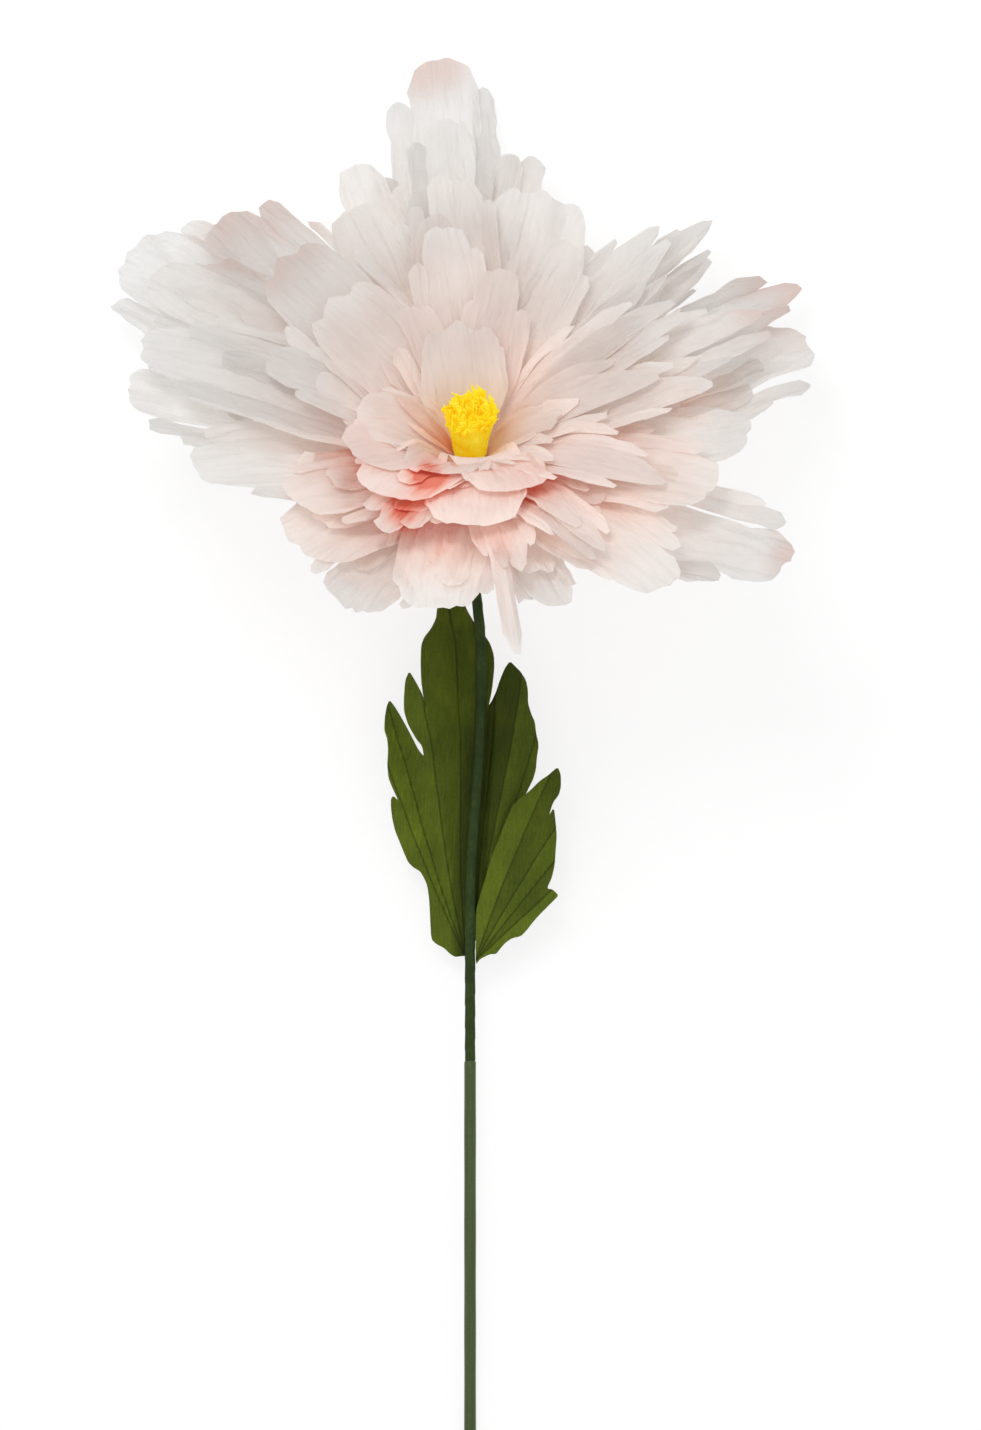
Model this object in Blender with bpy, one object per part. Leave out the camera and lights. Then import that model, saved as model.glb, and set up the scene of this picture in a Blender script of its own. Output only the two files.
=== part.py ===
"""A giant paper flower that lies on its back: a tilted head of lobed crepe petals on a wired stem."""

import math

import bmesh
import bpy
from mathutils import Vector

# General sizes: metres and degrees, +Z up, the stem along Y and the head at +Y
GAP = 0.0003
SHEET = 0.0005
HEAD_TILT = 35.0

# The hidden core that carries the petals in layers
LAYERS = 11
LAYER_PITCH = 0.0032
CORE_RADIUS = 0.0155
CORE_TOP_RADIUS = 0.0115
CORE_BACK_RADIUS = 0.0055
CORE_BACK = 0.014
NECK_STRAIGHT = 0.003
CORE_SIDES = 16

# The bowl that the petals form: opening angles from the axis at compass points round the head
OUTER_OPENING = {-150: 66.0, -90: 64.0, -30: 68.0, 30: 82.0, 90: 66.0, 150: 82.0, 180: 74.0}
INNER_OPENING = {-90: 38.0, 0: 48.0, 90: 38.0, 180: 48.0}
OUTER_BEND = 24.0
INNER_BEND = 44.0
OUTER_REACH = 0.290
INNER_REACH = 0.085

# How a petal is cut
PETAL_FOOT_WIDTH = 0.009
FULL_WIDTH_AT = 0.60
LOBE_EDGES = {2: (0.55, 1.0), 3: (0.45, 0.75, 1.0), 4: (0.36, 0.64, 0.88, 1.0)}
LOBE_ENDS = {2: (1.0, 0.80), 3: (1.0, 0.88, 0.66), 4: (1.0, 0.91, 0.76, 0.58)}
BROAD_EDGES = {2: (0.84, 1.0), 3: (0.78, 1.0, 1.06)}
BROAD_ENDS = {2: (1.0, 0.84), 3: (1.0, 0.84, 0.66)}
FULL_ENDS = {4: (1.0, 0.93, 0.84, 0.66)}
ROUND_CORNER = 0.040
POINT_CORNER = 0.110
CORNER_CUT = 0.07
STEP_RISE = 0.012
NEIGHBOUR_ROOM = 1.5
WIDE_PETAL = 0.050
LOBE_SWEEP = 0.045
WAVE_START = 0.015
WAVE_FULL = 0.070
WAVE_LIMIT = 0.30

# How a petal bends, in shares of a layer
CUP = 0.16
CUP_CHANGE = 0.06
MIDDLE_FOLD = 0.10
RIPPLE = 0.13
RIPPLES = 9.0
TWIST = 0.10

# The stem
STEM_REACH = 0.702
JOINT_REACH = 0.407
LOWER_RADIUS = 0.0042
WRAP_RADIUS = 0.0038
WIRE_RADIUS = 0.0015
WIRE_IN_CORE = 0.022
SOCKET_DEPTH = 0.045
NECK_BEND_RADIUS = 0.030
STEM_BOW = 0.0078
BOW_FROM = 0.300
BOW_TO = 0.030
STEM_SIDES = 8
WIRE_SIDES = 6

# The rolled fringe of stamens
FRINGE_HEIGHT = 0.054
FRINGE_BAND = 0.010
FRINGE_TURNS = 3.3
FRINGE_INNER = 0.0022
FRINGE_FOOT_RADIUS = 0.0100
FRINGE_TOP_SPREAD = 1.85
FRINGE_STRIP = 0.0032
FRINGE_SLIT = 0.16
FRINGE_PAPER = 0.0006

# How the leaves are folded: crease lines, slopes down or up from the stem, and waves
CREASES_ACROSS = (-0.045, -0.025, -0.012, 0.020)
CREASES_DOWN = (0.150, 0.200, 0.250, 0.300)
LEFT_FLAT = 0.012
LEFT_DROOP = 0.10
LEFT_WAVE = 0.0006
BACK_DROOP = 0.03
BACK_WAVE = 0.0018
FRONT_RISE = 0.16
FRONT_EASE = 0.05
FRONT_EASE_FROM = 0.038
FRONT_SEAT_SHARE = 0.45

# Colour and roughness of each paper and rod
MATERIALS = {
    "petal_paper": ((0.80, 0.70, 0.66), 0.85),
    "stamen_paper": ((0.90, 0.68, 0.04), 0.80),
    "leaf_paper": ((0.09, 0.14, 0.025), 0.80),
    "stem_tape": ((0.05, 0.075, 0.02), 0.75),
    "stem_coat": ((0.08, 0.11, 0.04), 0.50),
    "steel": ((0.45, 0.45, 0.45), 0.40),
    "core_foam": ((0.75, 0.62, 0.56), 0.90),
}

# Every petal, layer by layer from the back: azimuth, length, width, lobes a side, tip
PETALS = (
    (
        (95, 0.290, 0.118, 4, "round"),
        (146, 0.280, 0.128, 4, "full"),
        (18, 0.244, 0.108, 4, "round"),
        (-34, 0.274, 0.096, 4, "round"),
        (-116, 0.184, 0.092, 3, "round"),
    ),
    (
        (111, 0.226, 0.078, 4, "round"),
        (175, 0.240, 0.100, 4, "round"),
        (29, 0.260, 0.080, 4, "point"),
        (-73, 0.214, 0.062, 3, "round"),
        (-132, 0.172, 0.084, 3, "broad"),
    ),
    (
        (79, 0.216, 0.092, 4, "round"),
        (138, 0.242, 0.096, 4, "round"),
        (-161, 0.210, 0.098, 3, "round"),
        (-9, 0.206, 0.090, 3, "round"),
        (-97, 0.186, 0.078, 3, "round"),
    ),
    (
        (41, 0.236, 0.070, 4, "point"),
        (94, 0.240, 0.082, 4, "round"),
        (153, 0.252, 0.096, 4, "round"),
        (-53, 0.250, 0.086, 4, "round"),
        (-143, 0.170, 0.078, 3, "round"),
    ),
    (
        (73, 0.194, 0.086, 3, "broad"),
        (118, 0.192, 0.080, 3, "round"),
        (170, 0.242, 0.092, 4, "round"),
        (-80, 0.204, 0.056, 3, "point"),
        (-28, 0.210, 0.086, 3, "round"),
        (18, 0.226, 0.076, 3, "point"),
    ),
    (
        (44, 0.208, 0.066, 3, "point"),
        (95, 0.198, 0.080, 3, "round"),
        (-114, 0.166, 0.072, 3, "round"),
        (-60, 0.210, 0.064, 3, "point"),
    ),
    (
        (58, 0.164, 0.062, 3, "round"),
        (139, 0.190, 0.082, 3, "broad"),
        (2, 0.186, 0.066, 3, "point"),
        (-90, 0.158, 0.062, 2, "round"),
    ),
    (
        (100, 0.160, 0.068, 3, "round"),
        (26, 0.180, 0.062, 3, "point"),
        (-34, 0.186, 0.066, 3, "point"),
        (-122, 0.138, 0.060, 2, "round"),
        (168, 0.160, 0.066, 3, "round"),
    ),
    (
        (76, 0.130, 0.050, 2, "round"),
        (142, 0.146, 0.074, 2, "broad"),
        (6, 0.150, 0.052, 2, "point"),
        (-70, 0.120, 0.050, 2, "round"),
        (-150, 0.112, 0.052, 2, "round"),
    ),
    (
        (118, 0.110, 0.046, 2, "round"),
        (-172, 0.090, 0.044, 2, "round"),
        (-114, 0.088, 0.050, 2, "round"),
        (-42, 0.096, 0.042, 2, "point"),
    ),
    (
        (98, 0.084, 0.052, 2, "broad"),
        (-4, 0.074, 0.036, 2, "round"),
        (-78, 0.064, 0.050, 2, "broad"),
        (166, 0.066, 0.030, 2, "point"),
    ),
)

# Leaf outlines: metres right of the stem's middle line and metres below the flower's middle
LEAF_LEFT = (
    (-0.0235, 0.0826), (-0.0295, 0.1085), (-0.0413, 0.1204), (-0.0428, 0.1540), (-0.0396, 0.1939),
    (-0.0502, 0.1337), (-0.0546, 0.1470), (-0.0560, 0.1652), (-0.0644, 0.1547), (-0.0679, 0.1715),
    (-0.0649, 0.1876), (-0.0658, 0.2065), (-0.0620, 0.2260), (-0.0586, 0.2450), (-0.0480, 0.2674),
    (-0.0319, 0.2800), (-0.0285, 0.3220), (-0.0084, 0.3340), (0.0028, 0.3300), (0.0025, 0.2240),
    (0.0063, 0.1575), (0.0099, 0.1344), (0.0100, 0.1190), (0.0065, 0.1036), (0.0024, 0.0826),
)
LEAF_BACK = (
    (0.0210, 0.1274), (0.0130, 0.1470), (0.0075, 0.1650), (0.0070, 0.1900), (0.0058, 0.2240),
    (0.0000, 0.2600), (0.0000, 0.3000), (0.0190, 0.2800), (0.0360, 0.2450), (0.0413, 0.2184),
    (0.0415, 0.1974), (0.0400, 0.1806), (0.0336, 0.1624), (0.0330, 0.1470), (0.0273, 0.1330),
)
LEAF_FRONT = (
    (0.0546, 0.2030), (0.0460, 0.2065), (0.0325, 0.2170), (0.0250, 0.2275), (0.0180, 0.2590),
    (0.0125, 0.2800), (0.0055, 0.2975), (0.0000, 0.3200), (0.0000, 0.3395), (0.0070, 0.3346),
    (0.0189, 0.3325), (0.0266, 0.3255), (0.0385, 0.3185), (0.0616, 0.2919), (0.0587, 0.2800),
    (0.0590, 0.2660), (0.0558, 0.2450), (0.0485, 0.2380), (0.0525, 0.2320), (0.0570, 0.2135),
)


def clear_scene():
    for old in list(bpy.data.objects):
        bpy.data.objects.remove(old, do_unlink=True)


def make_material(name):
    colour, roughness = MATERIALS[name]
    material = bpy.data.materials.new(name)
    material.use_nodes = True
    shader = material.node_tree.nodes["Principled BSDF"]
    shader.inputs["Base Color"].default_value = (*colour, 1.0)
    shader.inputs["Roughness"].default_value = roughness
    shader.inputs["Metallic"].default_value = 1.0 if name == "steel" else 0.0
    return material


def add_object(name, mesh, material, parent):
    """Names a mesh, gives it its paper or rod material and hangs it under the flower's empty."""
    piece = bpy.data.objects.new(name, mesh)
    piece.data.materials.append(material)
    piece.parent = parent
    bpy.context.scene.collection.objects.link(piece)
    return piece


def mix(low, high, share):
    return low + (high - low) * share


def smooth(share):
    share = min(max(share, 0.0), 1.0)
    return share * share * (3.0 - 2.0 * share)


def round_the_head(angles, azimuth):
    """Reads a value set at compass points, blended smoothly between two neighbours."""
    azimuth = (azimuth + 180.0) % 360.0 - 180.0
    points = sorted(angles)
    below = max((p for p in points if p <= azimuth), default=points[-1] - 360)
    above = min((p for p in points if p > azimuth), default=points[0] + 360)
    low = angles.get(below, angles.get(below + 360))
    high = angles.get(above, angles.get(above - 360))
    return mix(low, high, smooth((azimuth - below) / (above - below)))


def core_height():
    return LAYERS * LAYER_PITCH


def core_radius(height):
    """The core narrows a little towards the stamens."""
    return mix(CORE_RADIUS, CORE_TOP_RADIUS, smooth(height / core_height()))


def bowl(along, azimuth, layer):
    """A point of the nested bowls: distance from the axis and height, on the arc that a layer follows."""
    depth = layer / (LAYERS - 1)
    opening = mix(round_the_head(OUTER_OPENING, azimuth), round_the_head(INNER_OPENING, azimuth), depth)
    bend = math.radians(mix(OUTER_BEND, INNER_BEND, depth))
    turn = bend / mix(OUTER_REACH, INNER_REACH, depth)
    start = math.radians(opening) - bend / 2
    end = start + turn * along
    foot = layer * LAYER_PITCH
    radius = core_radius(foot) + GAP + SHEET / 2 + (math.cos(start) - math.cos(end)) / turn
    return radius, foot + (math.sin(end) - math.sin(start)) / turn


def head_point(radius, height, azimuth):
    """From the head's own axis to the room: the axis leans from straight up towards the top petal."""
    tilt = math.radians(HEAD_TILT)
    right = radius * math.cos(math.radians(azimuth))
    up = radius * math.sin(math.radians(azimuth))
    return Vector((
        right,
        up * math.cos(tilt) + height * math.sin(tilt),
        height * math.cos(tilt) - up * math.sin(tilt),
    ))


def spread_at(share):
    """How far a petal has opened from its foot, from 0 to 1 at its full width."""
    return math.sin(math.pi / 2 * min(share / FULL_WIDTH_AT, 1.0)) ** 1.15


def petal_rows(lobes, tip):
    """Stations along a petal: share of its length and of its half width, with a step at each lobe's end."""
    edges = BROAD_EDGES[lobes] if tip == "broad" else LOBE_EDGES[lobes]
    ends = {"broad": BROAD_ENDS, "full": FULL_ENDS}.get(tip, LOBE_ENDS)[lobes]
    corner = POINT_CORNER if tip == "point" else ROUND_CORNER
    first = ends[-1] - corner
    rows = [(share, edges[-1] * spread_at(share)) for share in (0.0, 0.12, 0.25, (0.25 + first) / 2)]
    for lobe in range(lobes - 1, 0, -1):
        end, edge, inner = ends[lobe], edges[lobe], edges[lobe - 1]
        top = mix(edge, inner, 0.5) if tip == "point" else max(edge - CORNER_CUT, inner)
        rows += [(end - corner, edge * spread_at(end - corner)), (end, top), (end + STEP_RISE, inner)]
    if tip == "point":
        return rows + [(mix(ends[1], 1.0, 0.45), edges[0] * 0.80), (1.0, 0.05)]
    return rows + [(1.0 - corner * 1.2, edges[0] * 0.96), (1.0, edges[0] * 0.55)]


def petal_wave(share, across, seed):
    """How far a spot leaves its layer, in layers: cupped edges, a middle fold and a slow ripple."""
    side = math.copysign(1.0, across)
    cup = (CUP + CUP_CHANGE * math.sin(2.1 * seed)) * (across * across - 0.35)
    fold = MIDDLE_FOLD * math.sin(1.7 * seed) * (0.5 - abs(across))
    ripple = RIPPLE * across * across * math.sin(RIPPLES * share + 1.3 * seed + 1.1 * side)
    twist = TWIST * math.sin(3.3 * seed) * across * share
    return cup + fold + ripple + twist


def side_room(row, petal):
    """Degrees that a petal may take on either side before it meets a neighbour of its own layer."""
    others = [other[0] for other in row if other is not petal]
    left = min((other - petal[0]) % 360.0 for other in others)
    right = min((petal[0] - other) % 360.0 for other in others)
    return right / 2 - NEIGHBOUR_ROOM, left / 2 - NEIGHBOUR_ROOM


def petal_point(share, across, half, petal, layer, seed):
    """Where a spot of a petal lies, share of the length along it and across it from -1 to 1."""
    azimuth, length = petal[0], petal[1]
    room = side_room(PETALS[layer], petal)[0 if across < 0.0 else 1]
    sweep = LOBE_SWEEP * math.sin(math.pi * share) * across * across
    along = length * (share + sweep)
    centre_radius = bowl(length * share, azimuth, layer)[0]
    spread = min(math.degrees(half / centre_radius), room)
    turned = azimuth + across * spread
    grow = smooth((along - WAVE_START) / (WAVE_FULL - WAVE_START))
    wave = max(-WAVE_LIMIT, min(WAVE_LIMIT, petal_wave(share, across, seed)))
    radius, height = bowl(along, turned, layer + wave * grow)
    return head_point(radius, height, turned)


def make_petal(petal, layer, seed):
    """A grid of the petal's stations, to which the sheet's thickness is added."""
    azimuth, length, width, lobes, tip = petal
    foot = PETAL_FOOT_WIDTH / 2
    cells = 3 if layer < 7 or width >= WIDE_PETAL else 2
    sheet = bmesh.new()
    grid = []
    for share, part in petal_rows(lobes, tip):
        half = foot + (width / 2 - foot) * part if share < 1.0 else width / 2 * part
        line = []
        for cell in range(cells + 1):
            across = 2.0 * cell / cells - 1.0
            line.append(sheet.verts.new(petal_point(share, across, half, petal, layer, seed)))
        grid.append(line)
    for lower, upper in zip(grid, grid[1:]):
        for cell in range(cells):
            sheet.faces.new((lower[cell], lower[cell + 1], upper[cell + 1], upper[cell]))
    bmesh.ops.triangulate(sheet, faces=sheet.faces)
    mesh = bpy.data.meshes.new(f"petal_{seed:02d}")
    sheet.to_mesh(mesh)
    sheet.free()
    return mesh


def add_thickness(piece, thickness):
    solidify = piece.modifiers.new("paper", "SOLIDIFY")
    solidify.thickness = thickness
    solidify.offset = 0.0


def make_petals(root, material):
    petals = []
    for layer, row in enumerate(PETALS):
        for petal in row:
            seed = len(petals) + 1
            mesh = make_petal(petal, layer, seed)
            piece = add_object(f"petal_{seed:02d}", mesh, material, root)
            add_thickness(piece, SHEET)
            petals.append(piece)
    return petals


def turned_mesh(name, profile, sides):
    """Spins a closed profile of (radius, height) round the head's axis."""
    body = bmesh.new()
    rings = []
    for radius, height in profile:
        ring = [body.verts.new(head_point(radius, height, 360.0 * k / sides)) for k in range(sides)]
        rings.append(ring)
    for ring, following in zip(rings, rings[1:]):
        for k in range(sides):
            after = (k + 1) % sides
            body.faces.new((ring[k], ring[after], following[after], following[k]))
    body.faces.new(list(reversed(rings[0])))
    body.faces.new(rings[-1])
    bmesh.ops.triangulate(body, faces=[f for f in body.faces if len(f.verts) > 4])
    mesh = bpy.data.meshes.new(name)
    body.to_mesh(mesh)
    body.free()
    return mesh


def make_core(root, material):
    """The turned core with a blind socket in its back for the wire."""
    bore = WIRE_RADIUS + GAP
    top = core_height()
    profile = [(bore, WIRE_IN_CORE), (bore, -CORE_BACK), (CORE_BACK_RADIUS, -CORE_BACK)]
    profile += [(mix(CORE_BACK_RADIUS, CORE_RADIUS, 0.75), -CORE_BACK / 2)]
    profile += [(core_radius(top * k / 4), top * k / 4) for k in range(5)]
    piece = add_object("flower_core", turned_mesh("flower_core", profile, CORE_SIDES), material, root)
    piece.data.shade_smooth()
    piece.data.set_sharp_from_angle(angle=math.radians(40))


def make_fringe(root, material):
    """One strip of paper, slit into a fringe and rolled up into a spiral that flares at the top."""
    foot_z = core_height() + GAP
    mean = (FRINGE_INNER + FRINGE_FOOT_RADIUS) / 2
    strips = round(FRINGE_TURNS * math.tau * mean / FRINGE_STRIP)
    body = bmesh.new()

    def spot(place, height, face):
        share = place / strips
        radius = mix(FRINGE_INNER, FRINGE_FOOT_RADIUS, math.sqrt(share)) + face * FRINGE_PAPER / 2
        rise = height / FRINGE_HEIGHT
        radius *= mix(1.0, FRINGE_TOP_SPREAD, rise ** 1.5)
        azimuth = 360.0 * FRINGE_TURNS * share
        return body.verts.new(head_point(radius, foot_z + height, azimuth))

    # A low band carries all the strips, and a slit parts each strip from the next
    cuts = [k + side for k in range(strips) for side in (0.0, 1.0 - FRINGE_SLIT)] + [strips]
    inner = [[spot(place, height, -1) for place in cuts] for height in (0.0, FRINGE_BAND)]
    outer = [[spot(place, height, 1) for place in cuts] for height in (0.0, FRINGE_BAND)]
    for k in range(len(cuts) - 1):
        body.faces.new((inner[0][k + 1], inner[0][k], inner[1][k], inner[1][k + 1]))
        body.faces.new((outer[0][k], outer[0][k + 1], outer[1][k + 1], outer[1][k]))
        body.faces.new((inner[0][k], inner[0][k + 1], outer[0][k + 1], outer[0][k]))
        if k % 2:
            body.faces.new((inner[1][k + 1], inner[1][k], outer[1][k], outer[1][k + 1]))
            continue
        tall = FRINGE_HEIGHT * (0.92 + 0.08 * math.sin(5.0 * k))
        ends = ((cuts[k], -1), (cuts[k + 1], -1), (cuts[k + 1], 1), (cuts[k], 1))
        tip = [spot(place, tall, face) for place, face in ends]
        body.faces.new((inner[1][k + 1], inner[1][k], tip[0], tip[1]))
        body.faces.new((outer[1][k], outer[1][k + 1], tip[2], tip[3]))
        body.faces.new((inner[1][k], outer[1][k], tip[3], tip[0]))
        body.faces.new((outer[1][k + 1], inner[1][k + 1], tip[1], tip[2]))
        body.faces.new((tip[1], tip[0], tip[3], tip[2]))
    for k, order in ((0, 1), (len(cuts) - 1, -1)):
        body.faces.new((inner[0][k], outer[0][k], outer[1][k], inner[1][k])[::order])
    bmesh.ops.recalc_face_normals(body, faces=body.faces)
    mesh = bpy.data.meshes.new("stamen_fringe")
    body.to_mesh(mesh)
    body.free()
    add_object("stamen_fringe", mesh, material, root)


def bow(reach):
    """The upper stem bows sideways between the leaves and the neck."""
    share = (BOW_FROM - reach) / (BOW_FROM - BOW_TO)
    return STEM_BOW * smooth(share / 0.55) * smooth((1.0 - share) / 0.35)


def stem_slope(floor):
    """The angle below level of the straight stem, from the end of the neck's bend to its foot."""
    slope = 0.0
    for _ in range(20):
        bend_end = neck_point(math.radians(90.0 - HEAD_TILT) - slope)
        drop = bend_end.z - (floor + LOWER_RADIUS)
        slope = math.atan2(drop, STEM_REACH + bend_end.y)
    return slope


def neck_point(turned):
    """A point of the neck's bend, in the middle plane, after it has turned so far from the head's axis."""
    tilt = math.radians(90.0 - HEAD_TILT)
    back = head_point(0.0, -CORE_BACK - NECK_STRAIGHT, 0.0)
    run = NECK_BEND_RADIUS * (math.sin(tilt) - math.sin(tilt - turned))
    drop = NECK_BEND_RADIUS * (math.cos(tilt - turned) - math.cos(tilt))
    return back + Vector((0.0, -run, -drop))


def stem_line(floor, reach):
    """The middle of the straight stem, as far below the flower's middle as reach says."""
    slope = stem_slope(floor)
    start = neck_point(math.radians(90.0 - HEAD_TILT) - slope)
    return Vector((bow(reach), -reach, start.z - (reach + start.y) * math.tan(slope)))


def stem_path(floor, last_reach):
    """Points of the neck's bend and of the upper stem, down to last_reach."""
    full_turn = math.radians(90.0 - HEAD_TILT) - stem_slope(floor)
    bend = [neck_point(full_turn * k / 4) for k in range(4)]
    first_reach = -neck_point(full_turn).y
    steps = 10
    straight = [stem_line(floor, mix(first_reach, last_reach, k / steps)) for k in range(steps + 1)]
    return bend + straight


def swept_mesh(name, loops, closed_ends):
    """Skins rings of points one after another, and caps the two ends where there is no bore."""
    body = bmesh.new()
    rings = [[body.verts.new(point) for point in ring] for ring in loops]
    sides = len(rings[0])
    pairs = list(zip(rings, rings[1:]))
    if not closed_ends:
        pairs.append((rings[-1], rings[0]))
    for ring, following in pairs:
        for k in range(sides):
            after = (k + 1) % sides
            body.faces.new((ring[k], ring[after], following[after], following[k]))
    if closed_ends:
        body.faces.new(list(reversed(rings[0])))
        body.faces.new(rings[-1])
    bmesh.ops.recalc_face_normals(body, faces=body.faces)
    bmesh.ops.triangulate(body, faces=body.faces)
    mesh = bpy.data.meshes.new(name)
    body.to_mesh(mesh)
    body.free()
    return mesh


def rings_along(path, radius, sides):
    """Circles square to a path that stays near the middle plane."""
    rings = []
    for k, point in enumerate(path):
        before = path[max(k - 1, 0)]
        after = path[min(k + 1, len(path) - 1)]
        forward = (after - before).normalized()
        side = forward.cross(Vector((0.0, 0.0, 1.0))).normalized()
        up = side.cross(forward)
        angles = [math.tau * n / sides for n in range(sides)]
        rings.append([point + radius * (math.cos(a) * side + math.sin(a) * up) for a in angles])
    return rings


def make_stem(root, materials, floor):
    """Wire from the core through the taped upper stem into the socket of the coated lower stem."""
    upper = stem_path(floor, JOINT_REACH)
    axis_in = [head_point(0.0, WIRE_IN_CORE - GAP, 0.0), head_point(0.0, 0.0, 0.0)]
    in_socket = stem_line(floor, JOINT_REACH + SOCKET_DEPTH - GAP)
    wire = rings_along(axis_in + upper + [in_socket], WIRE_RADIUS, WIRE_SIDES)
    add_object("stem_wire", swept_mesh("stem_wire", wire, True), materials["steel"], root)

    back = head_point(0.0, -CORE_BACK - GAP, 0.0)
    tape = [back] + upper
    outer = rings_along(tape, WRAP_RADIUS, STEM_SIDES)
    inner = rings_along(tape, WIRE_RADIUS + 2 * GAP, STEM_SIDES)
    wrap = swept_mesh("stem_wrap", outer + inner[::-1], False)
    add_object("stem_wrap", wrap, materials["stem_tape"], root).data.shade_smooth()

    top = stem_line(floor, JOINT_REACH + GAP)
    foot = stem_line(floor, STEM_REACH)
    socket = stem_line(floor, JOINT_REACH + SOCKET_DEPTH)
    rod = rings_along([foot, top], LOWER_RADIUS, STEM_SIDES)
    bore = rings_along([top, socket], WIRE_RADIUS + 2 * GAP, STEM_SIDES)
    flipped = [[ring[0]] + ring[:0:-1] for ring in bore]
    turned = [[r[(k + STEM_SIDES // 2) % STEM_SIDES] for k in range(STEM_SIDES)] for r in flipped]
    lower = swept_mesh("lower_stem", rod + turned, True)
    add_object("lower_stem", lower, materials["stem_coat"], root).data.shade_smooth()


def make_leaf(name, outline, lift, shape, material, root, floor):
    """Cuts a leaf's outline, creases it on a few lines and lays it beside the stem."""
    cut = bmesh.new()
    off_level = max(abs(lift) - SHEET / 2, 0.0)
    seat = WRAP_RADIUS + 1.5 * GAP
    edge = math.sqrt(seat * seat - off_level * off_level) if off_level < seat else seat
    corners = [cut.verts.new((x if abs(x) > 1e-9 else edge, -down, 0.0)) for x, down in outline]
    cut.faces.new(corners)
    lines = [((x, 0.0, 0.0), (1.0, 0.0, 0.0)) for x in CREASES_ACROSS]
    lines += [((0.0, -y, 0.0), (0.0, 1.0, 0.0)) for y in CREASES_DOWN]
    for point, normal in lines:
        geometry = cut.verts[:] + cut.edges[:] + cut.faces[:]
        bmesh.ops.bisect_plane(cut, geom=geometry, plane_co=point, plane_no=normal, dist=1e-5)
    bmesh.ops.triangulate(cut, faces=cut.faces)
    for corner in cut.verts:
        middle = stem_line(floor, -corner.co.y)
        height = lift + shape(corner.co.x, -corner.co.y)
        corner.co = Vector((middle.x + corner.co.x, corner.co.y, middle.z + height))
    mesh = bpy.data.meshes.new(name)
    cut.to_mesh(mesh)
    cut.free()
    add_thickness(add_object(name, mesh, material, root), SHEET)


def left_leaf_shape(right, down):
    """Creased beside the stem, its outer lobes lower than its middle."""
    outer = max(-right - LEFT_FLAT, 0.0)
    return -LEFT_DROOP * outer - LEFT_WAVE * math.sin(60.0 * down) * smooth(outer / 0.02)


def back_leaf_shape(right, down):
    inner = WRAP_RADIUS + GAP
    wave = BACK_WAVE * math.sin(35.0 * down) * smooth((right - inner) / 0.03)
    return wave - BACK_DROOP * (right - inner)


def front_leaf_shape(right, down):
    inner = WRAP_RADIUS + GAP
    return FRONT_RISE * (right - inner) - FRONT_EASE * max(right - FRONT_EASE_FROM, 0.0)


def make_leaves(root, material, floor):
    under = -(WRAP_RADIUS + GAP + SHEET / 2)
    beside = 0.0
    over = WRAP_RADIUS * FRONT_SEAT_SHARE
    make_leaf("leaf_left", LEAF_LEFT, under, left_leaf_shape, material, root, floor)
    make_leaf("leaf_back", LEAF_BACK, beside, back_leaf_shape, material, root, floor)
    make_leaf("leaf_front", LEAF_FRONT, over, front_leaf_shape, material, root, floor)


def corners_of(pieces):
    """The lowest and highest corner of the pieces as Blender shows them."""
    bpy.context.view_layer.update()
    graph = bpy.context.evaluated_depsgraph_get()
    points = []
    for piece in pieces:
        shown = piece.evaluated_get(graph)
        points += [shown.matrix_world @ v.co for v in shown.data.vertices]
    low = Vector(min(p[axis] for p in points) for axis in range(3))
    high = Vector(max(p[axis] for p in points) for axis in range(3))
    return low, high


def main():
    clear_scene()
    materials = {name: make_material(name) for name in MATERIALS}
    root = bpy.data.objects.new("flower", None)
    bpy.context.scene.collection.objects.link(root)
    petals = make_petals(root, materials["petal_paper"])
    floor = corners_of(petals)[0].z
    make_core(root, materials["core_foam"])
    make_fringe(root, materials["stamen_paper"])
    make_stem(root, materials, floor)
    make_leaves(root, materials["leaf_paper"], floor)
    pieces = [ob for ob in bpy.data.objects if ob.type == "MESH"]
    low, high = corners_of(pieces)
    root.location = (-(low.x + high.x) / 2, -(low.y + high.y) / 2, -low.z)
    bpy.context.view_layer.update()


main()
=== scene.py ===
# %% [markdown]
# A giant paper flower, dressed for its portrait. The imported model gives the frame: the core, the wire, the
# stem and the plain sheet of every petal. Here each sheet becomes crepe paper: it is cut into long lobes
# that fan out from the petal's foot, folded along its length, and tinted from coral at the foot to nearly
# white at the tips.

# %% Load the frame
import math
import random

import bmesh
import bpy
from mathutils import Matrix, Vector, noise


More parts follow.
